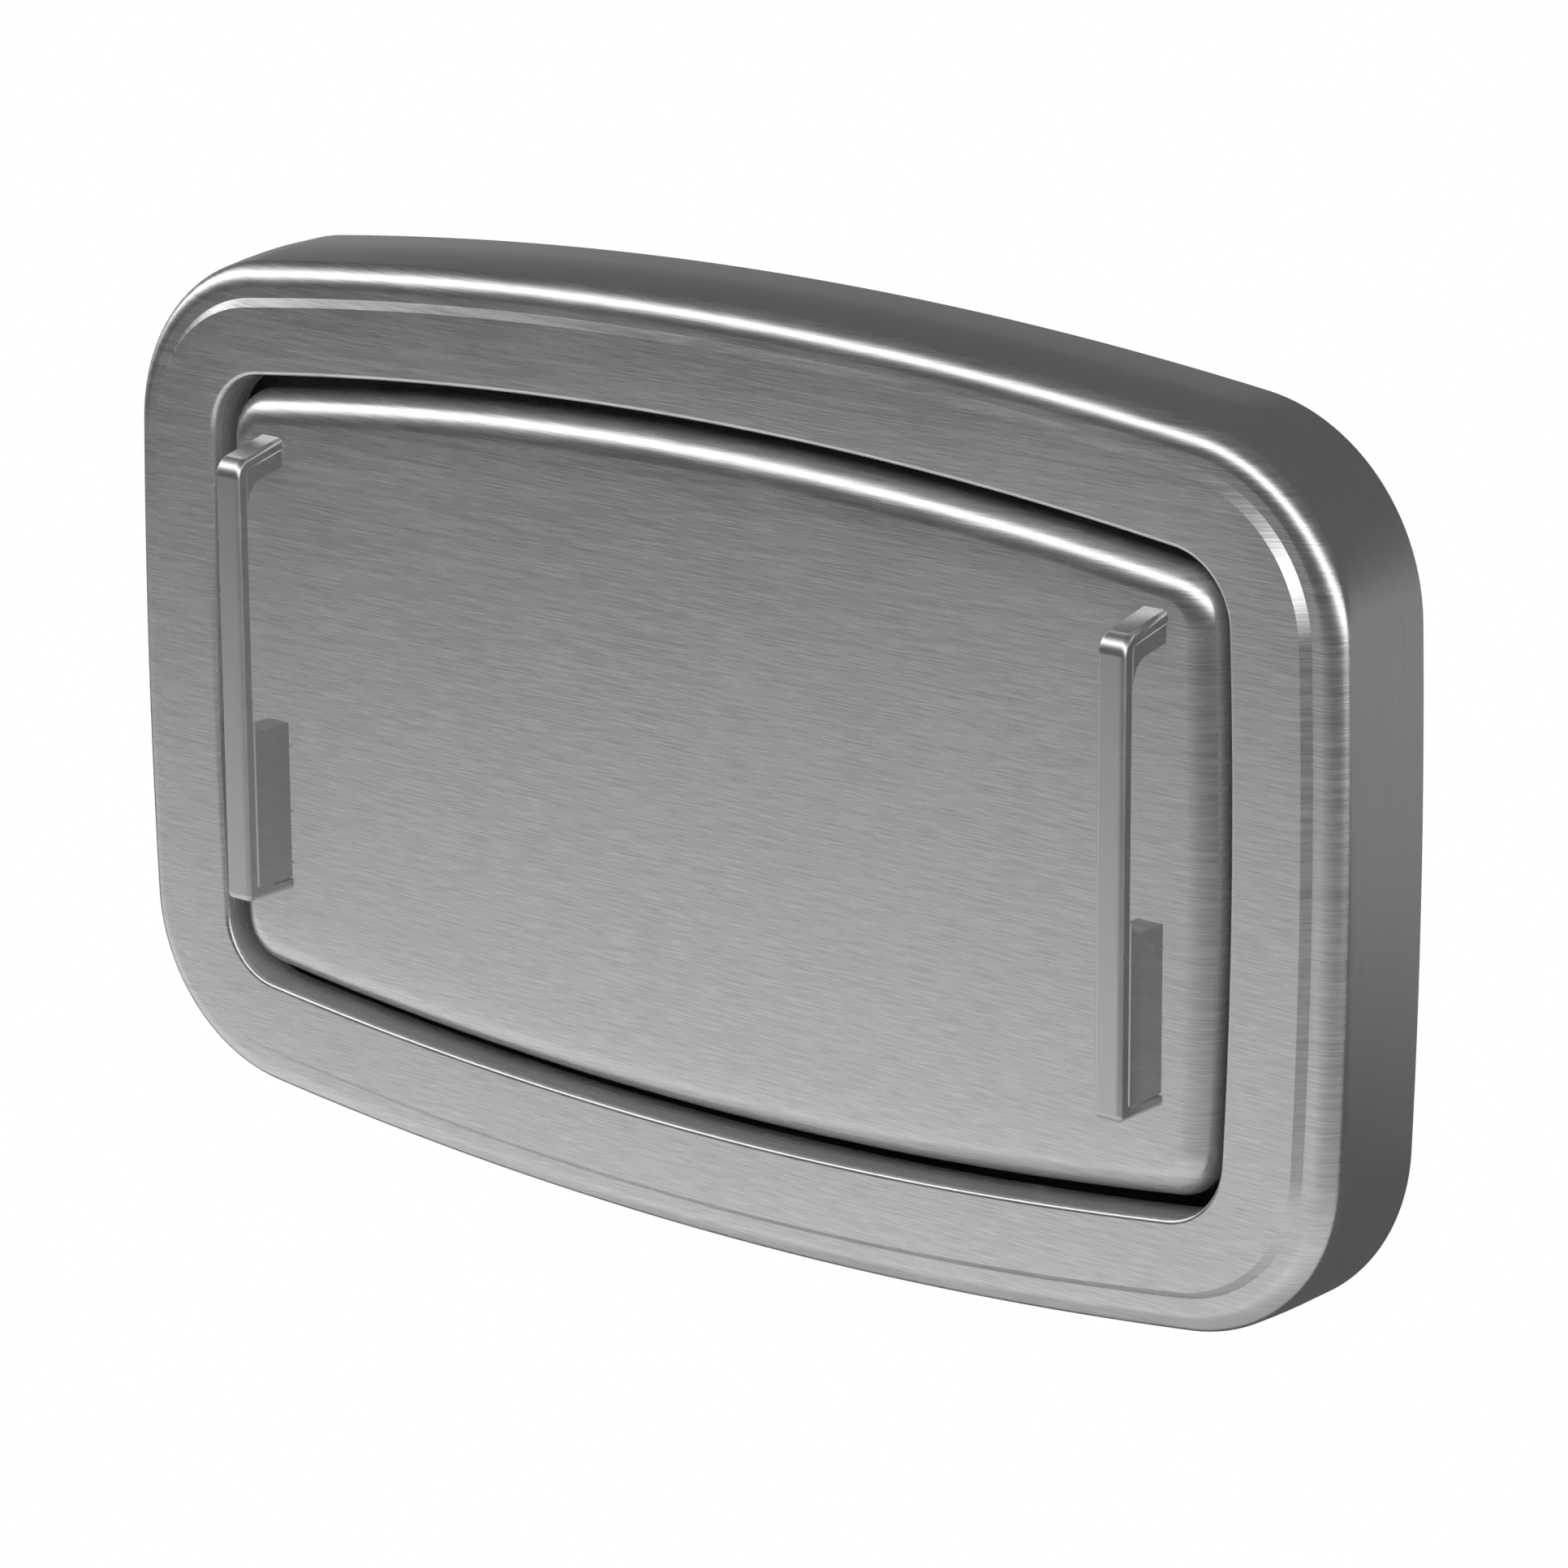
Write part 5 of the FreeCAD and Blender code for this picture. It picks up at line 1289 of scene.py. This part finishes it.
@dataclass
class Studio:
    """A pale floor, and a plain grey tent lit along one soft arch and by a card behind the part.

    Attributes:
        floor_height: how high the floor lies.
        floor_radius: how far it reaches from the pool's middle.
        pool: the middle of the pale pool on the floor.
        pool_reach: where the pool starts to fade and where it has faded.
        shadow_reach: where the floor under the part turns from a shadow catcher into plain white.
        tent_radius: radius of the tent.
        arch_axis: the axis round which the soft arch of light runs.
        arch_lean: how far the arch stands off the plane across its axis, as a sine.
        arch_spread: how wide the arch is, as a sine.
        arch_strength: how bright it is in its middle.
        cloth_levels: how bright the tent's cloth is, at its foot and at its top.
        card_half_width: half the width of the card behind the part.
        card_back: how far it stands behind the wall.
        card_levels: heights on it and how bright it is at each.
    """

    floor_height: float = -1.0
    floor_radius: float = 4.95
    pool: tuple[float, float] = (-1.0, -0.2)
    pool_reach: tuple[float, float] = (1.5, 4.9)
    shadow_reach: tuple[float, float] = (0.55, 1.05)
    tent_radius: float = 6.2
    arch_axis: Triple = (0.119, 0.58, 0.806)
    arch_lean: float = 0.125
    arch_spread: float = 0.136
    arch_strength: float = 2.85
    cloth_levels: tuple[float, float] = (0.068, 0.13)
    card_half_width: float = 2.4
    card_back: float = 0.25
    card_levels: tuple[tuple[float, float], ...] = (
        (-0.30, 0.09), (-0.19, 0.18), (-0.08, 0.27), (0.08, 0.31), (0.27, 0.31), (0.35, 0.24),
        (0.42, 0.165), (0.49, 0.10))

    def world(self) -> None:
        """Makes the background white."""
        world = bpy.data.worlds.new("white_room")
        world.use_nodes = True
        world.node_tree.nodes["Background"].inputs["Color"].default_value = grey(1.0)
        world.node_tree.nodes["Background"].inputs["Strength"].default_value = 1.0
        bpy.context.scene.world = world

    def floor(self) -> None:
        """Adds a round pale floor that keeps the part's shadow and fades into the background.

        From below it is clear, so that it doesn't hide the part there.
        """
        Bench.deselect()
        bpy.ops.mesh.primitive_circle_add(vertices=96, radius=self.floor_radius,
                                          fill_type="TRIFAN",
                                          location=(*self.pool, self.floor_height))
        piece = Bench.name(bpy.context.object, "floor")
        board = NodeBoard("pale_floor")
        board.finish({"Base Color": grey(0.96), "Roughness": 0.9})
        place = board.place()
        from_part = board.vector("LENGTH", board.mapped(place, Location=(*self.pool, 0.0)))
        from_pool = board.vector("LENGTH", place)
        rays = board.add("ShaderNodeLightPath").outputs
        seen = board.math("ADD", board.math("ADD", rays["Is Camera Ray"], rays["Is Glossy Ray"]),
                          rays["Is Transmission Ray"], clamp=True)
        white = board.math("MULTIPLY", seen, board.ramp(from_part, 0.0, 1.0, *self.shadow_reach))
        lit = board.either(white, board.shader.outputs["BSDF"], board.glow(grey(1.0)))
        gone = board.math("MAXIMUM", board.ramp(from_pool, 0.0, 1.0, *self.pool_reach),
                          board.add("ShaderNodeNewGeometry").outputs["Backfacing"])
        board.show(board.either(gone, lit, board.add("ShaderNodeBsdfTransparent").outputs["BSDF"]))
        piece.data.materials.append(board.material)

    def tent(self) -> None:
        """Adds the grey tent and its soft arch, which only the metal and the shadows see."""
        Bench.deselect()
        bpy.ops.mesh.primitive_uv_sphere_add(segments=128, ring_count=64, radius=self.tent_radius)
        piece = Bench.name(bpy.context.object, "grey_tent")
        board = NodeBoard("grey_cloth")
        place = board.place()
        up = board.add("ShaderNodeSeparateXYZ", {0: place}).outputs["Z"]
        cloth = board.ramp(up, *self.cloth_levels, -self.tent_radius * 0.2, self.tent_radius)
        toward = board.add("ShaderNodeVectorMath", {0: place}, operation="NORMALIZE")
        along = board.vector("DOT_PRODUCT", toward.outputs["Vector"],
                             Vector(self.arch_axis).normalized())
        off = board.math("SUBTRACT", along, self.arch_lean)
        bell = board.math("EXPONENT", board.math("MULTIPLY", board.math("MULTIPLY", off, off),
                                                 -0.5 / self.arch_spread ** 2))
        arch = board.math("MULTIPLY", bell,
                          board.ramp(up, 0.0, self.arch_strength, self.floor_height * 1.35,
                                     self.floor_height * 0.3))
        board.show(board.glow(grey(1.0, 0.015), board.sum(cloth, arch, 1.0)))
        piece.data.materials.append(board.material)
        piece.visible_camera = False

    def back_card(self) -> None:
        """Adds the grey card behind the part, which its top and its side walls mirror."""
        Bench.deselect()
        bpy.ops.mesh.primitive_grid_add(x_subdivisions=8, y_subdivisions=8, size=2.0)
        piece = Bench.name(bpy.context.object, "back_card")
        for vertex in piece.data.vertices:
            vertex.co = (vertex.co.x * self.card_half_width, self.card_back, vertex.co.y)
        board = NodeBoard("grey_card")
        across, _, up = board.add("ShaderNodeSeparateXYZ", {0: board.place()}).outputs
        lean = board.math("MULTIPLY", board.ramp(across, 0.0, 0.45, 0.15, 1.65),
                          board.ramp(up, 0.0, 1.0, 0.0, 0.25))
        height = board.ramp(board.sum(up, lean, 1.0), 0.0, 1.0, -1.0, 1.0)
        tone = board.add("ShaderNodeValToRGB", {"Fac": height})
        stops = tone.color_ramp.elements
        while len(stops) < len(self.card_levels):
            stops.new(0.5)
        for stop, (height, level) in zip(stops, self.card_levels):
            stop.position = (height + 1.0) / 2.0
            stop.color = grey(level, 0.01)
        board.show(board.glow(tone.outputs["Color"]))
        piece.data.materials.append(board.material)
        piece.visible_camera = piece.visible_diffuse = piece.visible_shadow = False

    def build(self) -> None:
        """Sets up the room."""
        self.world()
        self.floor()
        self.tent()
        self.back_card()
        bpy.context.scene.view_settings.view_transform = "Standard"


def main() -> None:
    """Builds every sub-assembly in order and reports each piece."""
    logging.basicConfig(level=logging.INFO, format="%(name)s: %(message)s")
    rack = FinishRack()
    Viewpoint().build()
    Studio().build()
    made = [CasingShell().build(rack), BedFront().build(rack), *PullHandle().build(rack),
            HangingHook().build(rack), *Harness().build(rack), *SideReleaseBuckle().build(rack),
            *CarriedParts().build(rack)]
    Bench.deselect()
    for piece in made:
        log.info("%s: %d faces", piece.name, len(piece.data.polygons))


if __name__ == "__main__":
    main()
